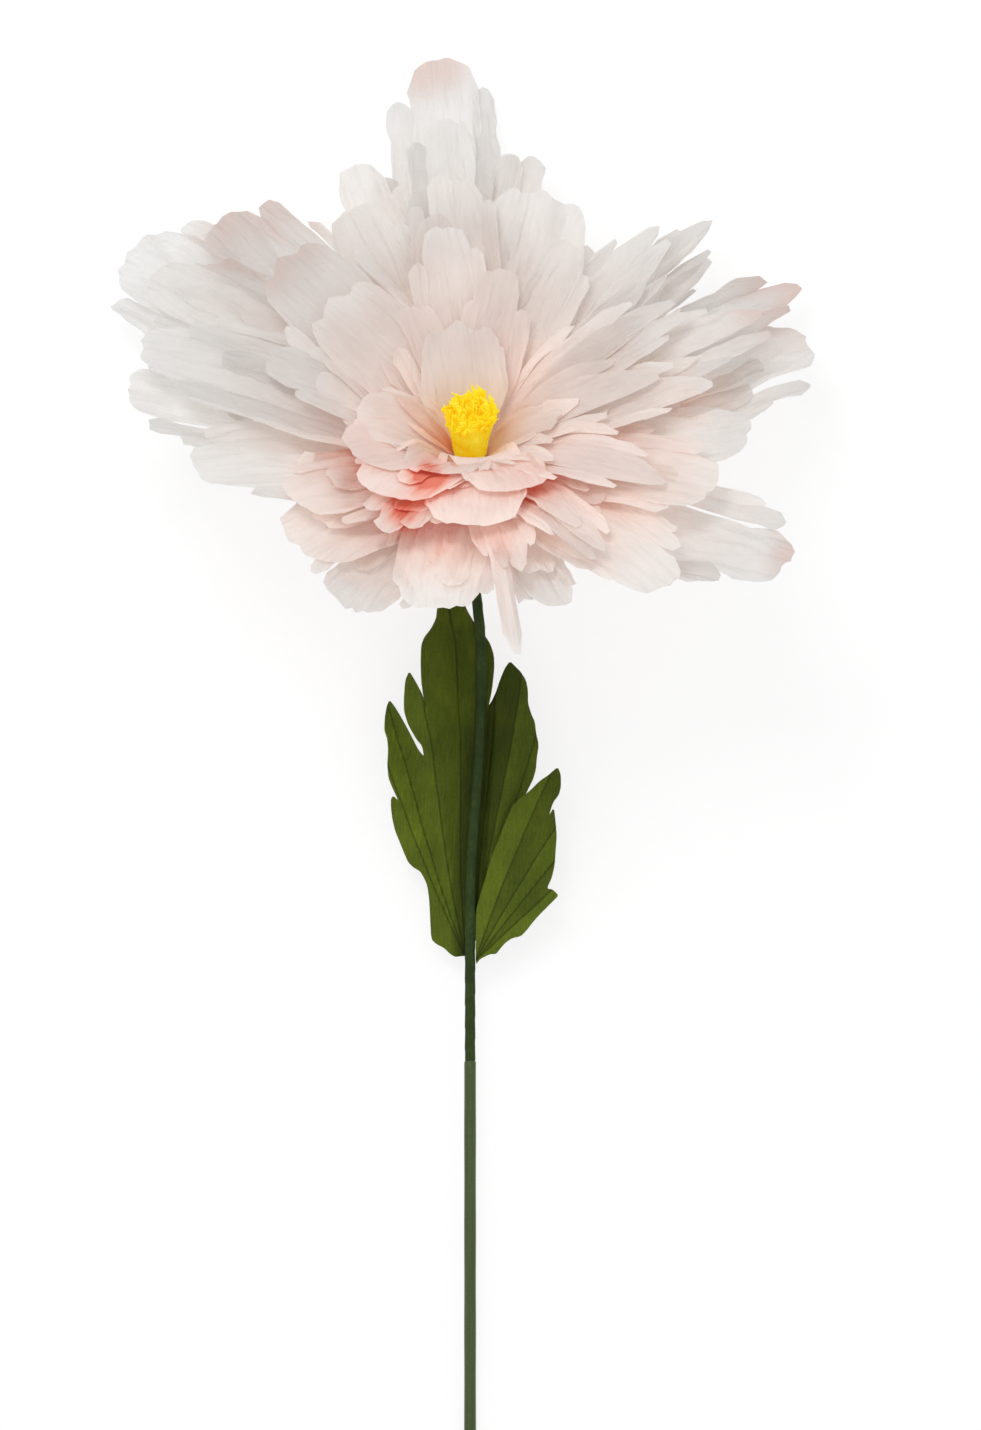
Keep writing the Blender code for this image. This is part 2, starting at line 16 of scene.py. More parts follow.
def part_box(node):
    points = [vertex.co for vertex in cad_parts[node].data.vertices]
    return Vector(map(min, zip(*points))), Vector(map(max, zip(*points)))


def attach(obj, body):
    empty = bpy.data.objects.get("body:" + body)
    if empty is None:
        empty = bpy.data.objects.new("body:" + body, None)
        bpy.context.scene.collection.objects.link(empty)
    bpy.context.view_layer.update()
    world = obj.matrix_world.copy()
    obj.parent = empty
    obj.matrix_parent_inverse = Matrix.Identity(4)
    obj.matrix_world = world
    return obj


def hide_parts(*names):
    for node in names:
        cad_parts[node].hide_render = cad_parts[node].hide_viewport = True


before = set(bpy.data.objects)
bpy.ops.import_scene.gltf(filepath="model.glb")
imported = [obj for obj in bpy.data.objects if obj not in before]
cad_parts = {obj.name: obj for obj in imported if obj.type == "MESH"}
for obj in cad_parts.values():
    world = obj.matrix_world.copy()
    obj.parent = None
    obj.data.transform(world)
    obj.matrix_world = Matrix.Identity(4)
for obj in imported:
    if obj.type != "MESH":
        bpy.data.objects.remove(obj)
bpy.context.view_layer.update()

# %% [markdown]
# The petals are nested like bowls on one leaning axis. The frame was made with the same few sizes, so the
# dressed petals follow the same bowls. The head's middle is read from the core, whose top rim is its
# highest and furthest part.

# %% The sizes of the head
SHEET = 0.0004
HEAD_TILT = math.radians(35.0)
LAYERS = 11
LAYER_PITCH = 0.0032
CORE_RADIUS = 0.0155
CORE_TOP_RADIUS = 0.0115
PAPER_ROOM = 0.00055
PAPER_GAP = 0.0003
OUTER_OPENING = {-150: 66.0, -90: 64.0, -30: 68.0, 30: 82.0, 90: 66.0, 150: 82.0, 180: 74.0}
INNER_OPENING = {-90: 38.0, 0: 48.0, 90: 38.0, 180: 48.0}
OUTER_BEND = 24.0
INNER_BEND = 44.0
OUTER_REACH = 0.290
INNER_REACH = 0.085

core_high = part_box("flower_core")[1]
core_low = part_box("flower_core")[0]
core_top = LAYERS * LAYER_PITCH
HEAD = Vector((
    (core_low[0] + core_high[0]) / 2,
    core_high[1] - core_top * math.sin(HEAD_TILT) - CORE_TOP_RADIUS * math.cos(HEAD_TILT),
    core_high[2] - core_top * math.cos(HEAD_TILT) - CORE_TOP_RADIUS * math.sin(HEAD_TILT),
))
print("head middle", [round(value, 5) for value in HEAD])

# %% [markdown]
# A spot on a petal is found in three steps: how far it lies along the sheet, in which compass direction
# round the head, and in which layer. A layer need not be a whole number: a fold or a curled edge is just
# a part of a layer up or down, so sheets can bend as they like without passing through one another.

# %% From a spot on a sheet to a place in the room
def mix(low, high, share):
    return low + (high - low) * share


def smooth(share):
    share = min(max(share, 0.0), 1.0)
    return share * share * (3.0 - 2.0 * share)


def round_the_head(angles, azimuth):
    """Reads a value set at compass points, blended smoothly between two neighbours."""
    azimuth = (azimuth + 180.0) % 360.0 - 180.0
    points = sorted(angles)
    below = max((p for p in points if p <= azimuth), default=points[-1] - 360)
    above = min((p for p in points if p > azimuth), default=points[0] + 360)
    low = angles.get(below, angles.get(below + 360))
    high = angles.get(above, angles.get(above - 360))
    return mix(low, high, smooth((azimuth - below) / (above - below)))


def bowl(along, azimuth, layer):
    """Distance from the head's axis and height over its middle."""
    depth = layer / (LAYERS - 1)
    opening = mix(round_the_head(OUTER_OPENING, azimuth), round_the_head(INNER_OPENING, azimuth), depth)
    bend = math.radians(mix(OUTER_BEND, INNER_BEND, depth))
    turn = bend / mix(OUTER_REACH, INNER_REACH, depth)
    start = math.radians(opening) - bend / 2
    end = start + turn * along
    foot = layer * LAYER_PITCH
    core = mix(CORE_RADIUS, CORE_TOP_RADIUS, smooth(foot / core_top))
    radius = core + PAPER_ROOM + (math.cos(start) - math.cos(end)) / turn
    return radius, foot + (math.sin(end) - math.sin(start)) / turn


def head_point(radius, height, azimuth):
    """From the head's leaning axis to the room."""
    right = radius * math.cos(math.radians(azimuth))
    up = radius * math.sin(math.radians(azimuth))
    return HEAD + Vector((
        right,
        up * math.cos(HEAD_TILT) + height * math.sin(HEAD_TILT),
        height * math.cos(HEAD_TILT) - up * math.sin(HEAD_TILT),
    ))


print("outermost bowl at its reach", [round(value, 3) for value in bowl(OUTER_REACH, 90.0, 0)])

# %% [markdown]
# Every petal is one sheet with lobes cut down both sides. The table gives each petal's direction, size and
# number of lobes, layer by layer. The frame's plain petals were made from nearly the same table. The last
# word says how the sheet ends: in round lobes, in a full margin of broader lobes, in one broad lobe, in
# points, or in points with one more lobe that droops beside the stem.

# %% The petals, layer by layer from the back: azimuth, length, width, lobes a side, tip
PETALS = (
    ((95, 0.290, 0.118, 4, "round"), (146, 0.280, 0.128, 4, "full"), (18, 0.244, 0.108, 4, "full"),
     (-34, 0.274, 0.096, 4, "full"), (-116, 0.212, 0.094, 3, "full")),
    ((111, 0.226, 0.078, 4, "round"), (175, 0.240, 0.100, 4, "full"), (29, 0.260, 0.080, 4, "point"),
     (-73, 0.214, 0.062, 3, "round"), (-132, 0.182, 0.084, 3, "broad")),
    ((79, 0.216, 0.092, 4, "round"), (138, 0.242, 0.096, 4, "full"), (-161, 0.210, 0.098, 3, "full"),
     (-9, 0.206, 0.090, 3, "full"), (-97, 0.228, 0.090, 3, "full")),
    ((41, 0.236, 0.070, 4, "point"), (94, 0.240, 0.082, 4, "round"), (153, 0.252, 0.096, 4, "full"),
     (-53, 0.250, 0.086, 4, "full"), (-143, 0.170, 0.078, 3, "full")),
    ((73, 0.194, 0.086, 3, "broad"), (118, 0.192, 0.080, 3, "round"), (170, 0.242, 0.092, 4, "full"),
     (-80, 0.204, 0.056, 3, "droop"), (-28, 0.210, 0.086, 3, "full"), (18, 0.226, 0.076, 3, "point")),
    ((44, 0.208, 0.066, 3, "point"), (95, 0.198, 0.080, 3, "round"), (-114, 0.166, 0.072, 3, "round"),
     (-60, 0.210, 0.064, 3, "point")),
    ((58, 0.164, 0.062, 3, "round"), (139, 0.190, 0.082, 3, "broad"), (2, 0.186, 0.066, 3, "point"),
     (-90, 0.160, 0.070, 2, "broad")),
    ((100, 0.160, 0.068, 3, "round"), (26, 0.180, 0.062, 3, "point"), (-34, 0.186, 0.066, 3, "point"),
     (-122, 0.140, 0.070, 2, "broad"), (168, 0.160, 0.066, 3, "round")),
    ((76, 0.130, 0.050, 2, "round"), (142, 0.146, 0.074, 2, "broad"), (6, 0.150, 0.052, 2, "point"),
     (-70, 0.120, 0.060, 2, "broad"), (-150, 0.114, 0.066, 2, "broad")),
    ((118, 0.110, 0.046, 2, "round"), (-172, 0.092, 0.054, 2, "broad"), (-114, 0.090, 0.062, 2, "broad"),
     (-42, 0.096, 0.042, 2, "point")),
    ((101, 0.090, 0.066, 2, "broad"), (-4, 0.074, 0.036, 2, "round"), (-78, 0.064, 0.050, 2, "broad"),
     (166, 0.066, 0.030, 2, "point")),
)
print("petals in the table", sum(len(row) for row in PETALS))

# %% [markdown]
# A sheet of paper is never flat. It is cupped, folded down its middle, rippled and twisted as a whole, and
# creased in the hand. All of these bends are counted in layers and fade out at the petal's foot, where the
# sheets lie close on the core.

# %% The bends of a whole sheet
FOOT_HALF = 0.0045
FULL_WIDTH_AT = 0.60
WAVE_START = 0.015
WAVE_FULL = 0.070
WAVE_LIMIT = 0.30
CUP = 0.16
CUP_CHANGE = 0.06
CUP_LEVEL = 0.35
MIDDLE_FOLD = 0.10
RIPPLE = 0.13
RIPPLES = 9.0
TWIST = 0.10
CRUMPLE_BROAD = 1.0
CRUMPLE_FINE = 0.16
CRUMPLE_LEVEL = 0.2
BROAD_ACROSS = 58.0
BROAD_ALONG = 17.0
FINE_ACROSS = 150.0
FINE_ALONG = 50.0


def petal_wave(share, across, seed):
    """The slow bends of a whole sheet: cupped edges, a middle fold, a ripple and a twist, in layers."""
    side = math.copysign(1.0, across)
    cup = (CUP + CUP_CHANGE * math.sin(2.1 * seed)) * (across * across - CUP_LEVEL)
    fold = MIDDLE_FOLD * math.sin(1.7 * seed) * (0.5 - abs(across))
    ripple = RIPPLE * across * across * math.sin(RIPPLES * share + 1.3 * seed + 1.1 * side)
    twist = TWIST * math.sin(3.3 * seed) * across * share
    return max(-WAVE_LIMIT, min(WAVE_LIMIT, cup + fold + ripple + twist))


def crumple(along, lateral, seed):
    """Sharp soft creases that run mostly along the sheet, in layers. All its lobes share them."""
    broad = abs(noise.noise(Vector((lateral * BROAD_ACROSS, along * BROAD_ALONG, seed * 7.3))))
    fine = abs(noise.noise(Vector((lateral * FINE_ACROSS, along * FINE_ALONG, seed * 3.1))))
    return CRUMPLE_BROAD * (broad - CRUMPLE_LEVEL) + CRUMPLE_FINE * (fine - CRUMPLE_LEVEL)


def place_on(petal, layer, along, lateral, bend):
    """A spot of a petal in the room, with its bend in layers, which fades out at the foot."""
    azimuth = petal[0]
    turned = azimuth + math.degrees(lateral / bowl(along, azimuth, layer)[0])
    grow = smooth((along - WAVE_START) / (WAVE_FULL - WAVE_START))
    radius, height = bowl(along, turned, layer + bend * grow)
    return head_point(radius, height, turned)


tip_spot = place_on(PETALS[0][0], 0, PETALS[0][0][1], 0.0, 0.0)
print("tip of the first petal", [round(value, 3) for value in tip_spot])

# %% [markdown]
# A petal's margin goes up in steps, because the sheet is cut in from both sides: the middle lobe is the
# longest, and the lobes beside it end lower and lower. Each lobe keeps a straight edge along the petal and
# a rounded top. Low down the lobes are one sheet with a crease between them. Higher up a slit parts them,
# so each one can lift, lean and curl by itself. A lobe draws its habits from the ranges below, where bends
# are counted in layers.

# %% How a petal is cut into lobes
LOBE_EDGES = {2: (0.55, 1.0), 3: (0.45, 0.75, 1.0), 4: (0.36, 0.64, 0.88, 1.0)}
LOBE_ENDS = {2: (1.0, 0.80), 3: (1.0, 0.88, 0.66), 4: (1.0, 0.91, 0.76, 0.58)}
BROAD_EDGES = {2: (0.84, 1.0), 3: (0.78, 1.0, 1.06)}
BROAD_ENDS = {2: (1.0, 0.84), 3: (1.0, 0.84, 0.66)}
FULL_EDGES = {3: (0.58, 0.88, 1.02), 4: (0.48, 0.78, 0.97, 1.05)}
FULL_ENDS = {3: (1.0, 0.90, 0.70), 4: (1.0, 0.93, 0.84, 0.66)}
SPLIT_TIPS = 0.5
SHIFTED = 0.05
CREASED = 0.2
LATE_SLITS_FULL = 0.22
LATE_SLITS_LEFT = 0.12
LEFT_FROM = 130.0
LOBE_HABITS = (
    ("fold", 0.05, 0.22),
    ("fold_at", -0.5, 0.5),
    ("slit", 0.42, 0.72),
    ("lift", -0.12, 0.20),
    ("lean", -0.18, 0.18),
    ("curl", -0.35, 0.60),
    ("sway", -0.003, 0.004),
    ("phase", 0.0, math.tau),
    ("shade", 0.0, 1.0),
)


def drawn(habits, draw):
    """One value from each range, drawn in the order of the list."""
    return {name: draw.uniform(low, high) for name, low, high in habits}


def lobe_spans(petal, draw):
    """Where the lobes lie across the petal, how far each one reaches, and on which side it is."""
    lobes, tip = petal[3:]
    edges = {"broad": BROAD_EDGES, "full": FULL_EDGES}.get(tip, LOBE_EDGES)[lobes]
    ends = {"broad": BROAD_ENDS, "full": FULL_ENDS}.get(tip, LOBE_ENDS)[lobes]
    spans = []
    for side in (-1.0, 1.0):
        inner = edges[0]
        for edge, end in zip(edges[1:], ends[1:]):
            outer = edge * draw.uniform(0.93, 1.05)
            spans.append((min(side * inner, side * outer), max(side * inner, side * outer), end, side))
            inner = outer
    shift = draw.uniform(-SHIFTED, SHIFTED)
    spans = [(low + shift, high + shift, end, side) for low, high, end, side in spans]
    low, high = -edges[0] + shift, edges[0] + shift
    cut = draw.uniform(-0.35, 0.35) * edges[0] + shift
    if tip not in ("broad", "full") and draw.random() < SPLIT_TIPS:
        spans += [(low, cut, draw.uniform(0.955, 1.0), -1.0), (cut, high, 1.0, 1.0)]
    else:
        spans.append((low, high, 1.0, 0.0))
    return sorted(spans)


def lobe_plan(petal, draw):
    """The lobes of a petal from one side to the other, and how each one behaves."""
    spans = lobe_spans(petal, draw)
    late = LATE_SLITS_FULL if petal[4] == "full" else LATE_SLITS_LEFT if abs(petal[0]) > LEFT_FROM else 0.0
    up = draw.choice((-1.0, 1.0))
    stand = draw.uniform(-0.6, 2.4)
    creases = {}
    plans = []
    for low, high, end, side in spans:
        for crease in (low, high):
            creases.setdefault(round(crease, 3), up * draw.uniform(-CREASED, CREASED))
        if end < 1.0:
            end += draw.uniform(-0.045, 0.035)
        plan = {"low": low, "high": high, "end": end, "side": side, "stand": stand}
        plan.update(low_crease=creases[round(low, 3)], high_crease=creases[round(high, 3)])
        plan.update(drawn(LOBE_HABITS, draw))
        plan["fold"] *= up
        plan["slit"] += late
        plans.append(plan)
        up = -up
    return plans


print("lobes of the first petal", len(lobe_plan(PETALS[0][0], random.Random(101))))

# %% [markdown]
# The paper is dyed from the foot. The coral shows most in the throats, where folded petals open onto one
# another's feet, so a few throats are set by their place: metres right of and above the head's middle,
# size, and strength. There the coral is partly the dye and partly painted shade, for the shade that falls
# into the throats. The petals above the stamens are paler at the foot than the low ones, and the dye is
# a little deeper again at a few tips.

# %% Where the dye is deep
# Partly dye and partly painted shade: places where the coral is deepened in the throats.
THROAT_DYE_AND_SHADE = (
    (-0.028, 0.000, 0.026, 0.36), (-0.046, -0.024, 0.026, 0.28), (-0.020, -0.051, 0.022, 0.16),
    (0.020, -0.046, 0.024, 0.18), (0.046, -0.008, 0.030, 0.10), (0.150, 0.052, 0.042, 0.20),
    (-0.066, 0.036, 0.068, 0.11), (0.034, 0.076, 0.040, 0.10), (0.104, -0.012, 0.050, 0.08),
)
THROAT_PALE = 0.11
THROAT_DEEP = 0.19
BLUSHED = ((-0.029, 0.292, 0.036), (-0.144, 0.171, 0.060), (0.215, 0.130, 0.050), (0.228, -0.057, 0.030))
BLUSH_FROM = 0.80
BLUSH_SHARE = 0.8


def nearness(spot, right, up, size):
    """1 at a place right of and above the head's middle, and 0 at its size away from it."""
    return 1.0 - math.hypot(spot.x - HEAD.x - right, spot.y - HEAD.y - up) / size


def throat_dye_and_shade(spot):
    """How deep the coral is where the folded petals open onto one another's feet: partly dye, partly painted
    shade.
    """
    return sum(strength * smooth(nearness(spot, right, up, size)) for right, up, size, strength in THROAT_DYE_AND_SHADE)


def blush(spot, station):
    """How much deeper the paper's dye is at a lobe's tip, in the few places where it is."""
    nearest = max(nearness(spot, *place) for place in BLUSHED)
    return BLUSH_SHARE * smooth(nearest * 1.6) * smooth((station - BLUSH_FROM) / (1.0 - BLUSH_FROM))


def lowness(azimuth):
    """1 for a petal that points down to the stem, and 0 for one that points up."""
    return smooth(0.1 - 1.1 * math.sin(math.radians(azimuth)))


def paleness(azimuth, layer):
    """How much further along its tint a petal starts: above 0 it is paler, and below 0 deeper."""
    inner = layer / (LAYERS - 1)
    middle = THROAT_DEEP * math.sin(math.pi * layer / LAYERS)
    deep = mix(middle, -THROAT_PALE, smooth((inner - 0.7) / 0.2))
    return mix(THROAT_PALE * (0.4 + inner), -deep, lowness(azimuth))


print("throats", len(THROAT_DYE_AND_SHADE), "blushed tips", len(BLUSHED))

# %% [markdown]
# A lobe is a grid of points from the foot to its own end, with more rows near the tip, where it curls. The
# low petals are cupped and stand up towards the viewer. The real ones are folded so by hand.

# %% Cut one lobe
LOBE_CELLS = 0.0040
LOBE_ROWS = 34
ROUND_POWER = 2.6
POINT_POWER = 1.5
SIDE_DROP = 0.8
POINT_DROP = 1.9
RAGGED = 0.006
NICKED = 0.06
NICKS = 75.0
SCALLOP = 0.007
EASED = 0.30
OPENED = 0.14
FREE_OVER = 0.40
FOLDED_FROM = 0.06
CRUMPLED_FROM = 0.07
CURLED_FROM = 0.70
STOOD_FROM = 0.40
CUPPED = 0.9
FRILL = 0.05
FRILL_LENGTH = 0.008
TINT_LENGTH = 0.3
UV_SCALE = 10.0
UV_SHIFT = 0.37


def round_top(across, power):
    """How far a lobe's top falls away beside its middle, from 0 to 1 at its edges."""
    return 1.0 - (1.0 - min(abs(across), 1.0) ** power) ** (1.0 / power)


def lobe_top(plan, petal, across, seed):
    """How far along the petal a lobe is cut: round or pointed, a little ragged, and scalloped if broad."""
    azimuth, length, width, _, tip = petal
    wide = (plan["high"] - plan["low"]) * width / 2
    top = plan["end"] * length
    if tip in ("point", "droop"):
        top -= wide * POINT_DROP * round_top(across, POINT_POWER)
    else:
        top -= wide / 2 * (SIDE_DROP if plan["side"] else 1.0) * round_top(across, ROUND_POWER)
    top -= RAGGED * abs(noise.noise(Vector((3.4 * across, plan["phase"], seed))))
    if tip == "broad" and azimuth > 0 and not plan["side"]:
        top -= SCALLOP * (1.0 - abs(math.cos(1.5 * math.pi * across)))
    return top


def lobe_bend(plan, across, along, station, free):
    """The bends of a lobe by itself, in layers: its crease and fold, and its lift, lean, curl and frill."""
    crease = mix(plan["low_crease"], plan["high_crease"], (across + 1.0) / 2)
    ridge = 1.0 - abs(across - plan["fold_at"]) / (1.0 + abs(plan["fold_at"]))
    bend = (crease + plan["fold"] * ridge) * smooth(along / FOLDED_FROM)
    bend += (plan["lift"] + plan["lean"] * across) * free
    bend += plan["curl"] * smooth((station - CURLED_FROM) / (1.0 - CURLED_FROM)) ** 2
    return bend + FRILL * across ** 2 * math.sin(along / FRILL_LENGTH + plan["phase"] + 2.0 * across) * free


def cut_lobe(sheet, layers, plan, petal, layer, seed, tone):
    """One lobe, from the foot of the petal to its own end."""
    flat, tint = layers
    azimuth, length, width = petal[:3]
    half = width / 2
    cells = max(3, round((plan["high"] - plan["low"]) * half / LOBE_CELLS))
    cupped = lowness(azimuth) * smooth(layer / (LAYERS - 1) * 1.6 - 0.6)
    dye = paleness(azimuth, layer)
    grid = []
    for row in range(LOBE_ROWS + 1):
        station = row / LOBE_ROWS
        station *= 1.0 + EASED - EASED * station
        free = smooth((station - plan["slit"]) / FREE_OVER)
        line = []
        for cell in range(cells + 1):
            across = 2.0 * cell / cells - 1.0
            along = lobe_top(plan, petal, across, seed) * station
            spread = math.sin(math.pi / 2 * min(along / (FULL_WIDTH_AT * length), 1.0)) ** 1.15
            place = mix(plan["low"], plan["high"], (across * (1.0 + OPENED * free) + 1.0) / 2)
            nick = noise.noise(Vector((along * NICKS, plan["phase"], across)))
            place += NICKED * across ** 3 * nick * free
            lateral = place * mix(FOOT_HALF, half, spread) + plan["sway"] * station ** 3
            bend = petal_wave(along / length, max(-1.0, min(1.0, lateral / half)), seed)
            bend += lobe_bend(plan, across, along, station, free)
            bend += crumple(along, lateral, seed) * smooth(along / CRUMPLED_FROM)
            risen = plan["stand"] * smooth((station - STOOD_FROM) / (1.0 - STOOD_FROM))
            bend += cupped * (risen + CUPPED * (lateral / half) ** 2)
            spot = place_on(petal, layer, along, lateral, bend)
            corner = sheet.verts.new(spot)
            # Painted shade, partly dye: the coral is deepened in the throats.
            far = along / TINT_LENGTH + dye - throat_dye_and_shade(spot)
            corner[tint] = (far, tone, plan["shade"], blush(spot, station))
            line.append((corner, (lateral * UV_SCALE + seed * UV_SHIFT, along * UV_SCALE)))
        grid.append(line)
    skin(sheet, flat, grid)


def skin(sheet, flat, grid):
    """Fills a grid of points with faces, and keeps each point's flat place as its UV."""
    for lower, upper in zip(grid, grid[1:]):
        for cell in range(len(lower) - 1):
            corners = (lower[cell], lower[cell + 1], upper[cell + 1], upper[cell])
            face = sheet.faces.new([corner for corner, _ in corners])
            for loop, (_, place) in zip(face.loops, corners):
                loop[flat].uv = place


print("rows in a lobe", LOBE_ROWS)

# %% [markdown]
# Narrow tongues of the same paper lie over the lobes, as the real petals have where the cuts run deep. They
# are lobes too, only narrower, and they ride higher. The petals above the stamens have more of them. The
# petal that droops has one more, which hangs down beside the stem.

# %% Narrow tongues over the lobes
TONGUE_SPACING = 0.075
TONGUE_SPACING_ABOVE = 0.042
TONGUE_CREASE = 0.26
TONGUE_STAND = 0.8
LONG_PETAL = 0.125
TONGUE_HABITS = (
    ("fold", -0.20, 0.20),
    ("fold_at", -0.4, 0.4),
    ("slit", 0.35, 0.60),
    ("lift", 0.0, 0.22),
    ("lean", -0.25, 0.25),
    ("curl", -0.3, 0.5),
    ("sway", -0.004, 0.004),
    ("phase", 0.0, math.tau),
    ("shade", 0.0, 1.0),
)
DROOP = {"low": -0.45, "high": -0.05, "end": 1.24, "curl": -3.6, "lift": -0.2}


def tongue_plan(petal, draw):
    """A few narrow tongues, spread across the petal."""
    azimuth, length, width, _, tip = petal
    spacing = TONGUE_SPACING_ABOVE if 10 < azimuth < 125 else TONGUE_SPACING
    many = max(1, round(width / spacing)) if length > LONG_PETAL else 0
    tongues = []
    for number in range(many):
        middle = (number + 0.5) / many * 1.7 - 0.85 + draw.uniform(-0.2, 0.2)
        half = draw.uniform(0.0080, 0.0140) / (width / 2)
        end = draw.uniform(0.55, 0.90) - 0.16 * abs(middle)
        tongue = {"low": middle - half, "high": middle + half, "end": end, "side": 0.0}
        tongue.update(low_crease=TONGUE_CREASE, high_crease=TONGUE_CREASE, stand=TONGUE_STAND)
        tongue.update(drawn(TONGUE_HABITS, draw))
        tongues.append(tongue)
    if tip == "droop":
        tongues.append({**tongues[-1], **DROOP})
    return tongues


def make_petal(name, petal, layer, seed):
    """One petal's mesh, with its flat place as a UV map and its tints as an attribute."""
    draw = random.Random(100 + seed)
    sheet = bmesh.new()
    layers = (sheet.loops.layers.uv.new("flat"), sheet.verts.layers.float_color.new("tint"))
    tone = draw.random()
    for plan in lobe_plan(petal, draw) + tongue_plan(petal, draw):
        cut_lobe(sheet, layers, plan, petal, layer, seed, tone)
    for edge in sheet.edges:
        edge.smooth = not edge.is_boundary
    mesh = bpy.data.meshes.new(name)
    sheet.to_mesh(mesh)
    sheet.free()
    return mesh


print("tongues on the first petal", len(tongue_plan(PETALS[0][0], random.Random(101))))

# %% [markdown]
# Shader maths reads best as plain sums, so a small class wraps a socket and turns Python's operators into
# Math nodes. Every other node comes from one method, which sets the node's choices first and then its
# sockets.

# %% A helper for materials
class Reading:
    """A number that a shader socket gives, ready for sums."""

    def __init__(self, finish, socket):
        self.finish = finish
        self.socket = socket

    def __add__(self, other):
        return self.finish.sum("ADD", self, other)

    def __sub__(self, other):
        return self.finish.sum("SUBTRACT", self, other)

    def __rsub__(self, other):
        return self.finish.sum("SUBTRACT", other, self)

    def __mul__(self, other):
        return self.finish.sum("MULTIPLY", self, other)

    __radd__ = __add__
    __rmul__ = __mul__


class Nodes:
    """A node tree, and one method that adds a node to it."""

    def set(self, socket, value):
        if isinstance(value, Reading):
            value = value.socket
        if isinstance(value, bpy.types.NodeSocket):
            self.tree.links.new(value, socket)
        else:
            socket.default_value = value

    def node(self, kind, choices=None, values=None):
        """Adds a node: its choices first, a ramp's stops among them, and then its sockets."""
        made = self.tree.nodes.new(kind)
        for name, choice in (choices or {}).items():
            if name == "stops":
                while len(made.color_ramp.elements) < len(choice):
                    made.color_ramp.elements.new(1.0)
                for element, (place, colour) in zip(made.color_ramp.elements, choice):
                    element.position = place
                    element.color = (*colour, 1.0)
            else:
                setattr(made, name, choice)
        for name, value in (values or {}).items():
            self.set(made.inputs[name], value)
        return made


class Finish(Nodes):
    """One material and the nodes that make it."""

    def __init__(self, name):
        self.material = bpy.data.materials.new(name)
        self.material.use_nodes = True
        self.tree = self.material.node_tree
        self.shader = self.tree.nodes["Principled BSDF"]
        self.output = self.tree.nodes["Material Output"]

    def flat(self):
        """The spot on the flat sheet."""
        return self.node("ShaderNodeUVMap", {"uv_map": "flat"}).outputs["UV"]

    def place(self):
        """The spot in the room."""
        return self.node("ShaderNodeTexCoord").outputs["Object"]

    def marks(self, name):
        """The four numbers that a mesh's points carry as a colour."""
        mark = self.node("ShaderNodeAttribute", {"attribute_name": name}).outputs
        parts = self.node("ShaderNodeSeparateColor", None, {"Color": mark["Color"]}).outputs
        return [Reading(self, part) for part in (parts["Red"], parts["Green"], parts["Blue"], mark["Alpha"])]

    def sum(self, operation, left, right):
        made = self.node("ShaderNodeMath", {"operation": operation}, {0: left, 1: right})
        return Reading(self, made.outputs[0])

    def size(self, reading):
        """A number without its sign."""
        return self.sum("ABSOLUTE", reading, 0.0)

    def noise(self, vector, scale, detail):
        made = self.node("ShaderNodeTexNoise", None, {"Vector": vector, "Scale": scale, "Detail": detail})
        return Reading(self, made.outputs["Fac"])

    def streaks(self, vector, scale, detail):
        """Noise that is stretched along one direction."""
        made = self.node("ShaderNodeMapping", None, {"Vector": vector, "Scale": scale})
        return self.noise(made.outputs["Vector"], 1.0, detail)

    def ramp(self, reading, stops):
        return self.node("ShaderNodeValToRGB", {"stops": stops}, {"Fac": reading}).outputs["Color"]

    def mixed(self, blend, factor, first, second):
        """Two colours mixed, or multiplied."""
        choices = {"data_type": "RGBA", "blend_type": blend}
        return self.node("ShaderNodeMix", choices, {0: factor, 6: first, 7: second}).outputs[2]

    def shaded(self, colour, light):
        """A colour made lighter or darker by a number."""
        grey = self.node("ShaderNodeCombineColor", None, {"Red": light, "Green": light, "Blue": light})
        return self.mixed("MULTIPLY", 1.0, colour, grey.outputs[0])

    def dress(self, values):
        """Sets sockets of the main shader by their names."""
        for name, value in values.items():
            self.set(self.shader.inputs[name], value)

    def bump(self, height, strength, distance):
        values = {"Height": height, "Strength": strength, "Distance": distance}
        return self.node("ShaderNodeBump", None, values).outputs["Normal"]

    def thin(self, colour, share, normal):
        """Lets a share of the light through, as thin paper does."""
        through = self.node("ShaderNodeBsdfTranslucent", None, {"Color": colour, "Normal": normal})
        values = {0: share, 1: self.shader.outputs[0], 2: through.outputs[0]}
        mixed = self.node("ShaderNodeMixShader", None, values)
        self.set(self.output.inputs["Surface"], mixed.outputs[0])


# %% [markdown]
# Crepe paper is matt, thin enough to glow where light comes through, and ribbed with fine lines that run
# from the foot to the tip. The tint follows the attribute that each petal carries: how far along its tint a
# spot is, the petal's own tone, a small change from strip to strip, and the deeper dye at a few tips. The
# paper gives off a little light of its own, for the light that real sheets pass on to one another.

# %% The petals' paper
BLUSH = (0.80, 0.62, 0.56, 1.0)
PASSED_ON = 0.10
FOOT_LETS_THROUGH = 0.32
TIP_LETS_THROUGH = 0.62


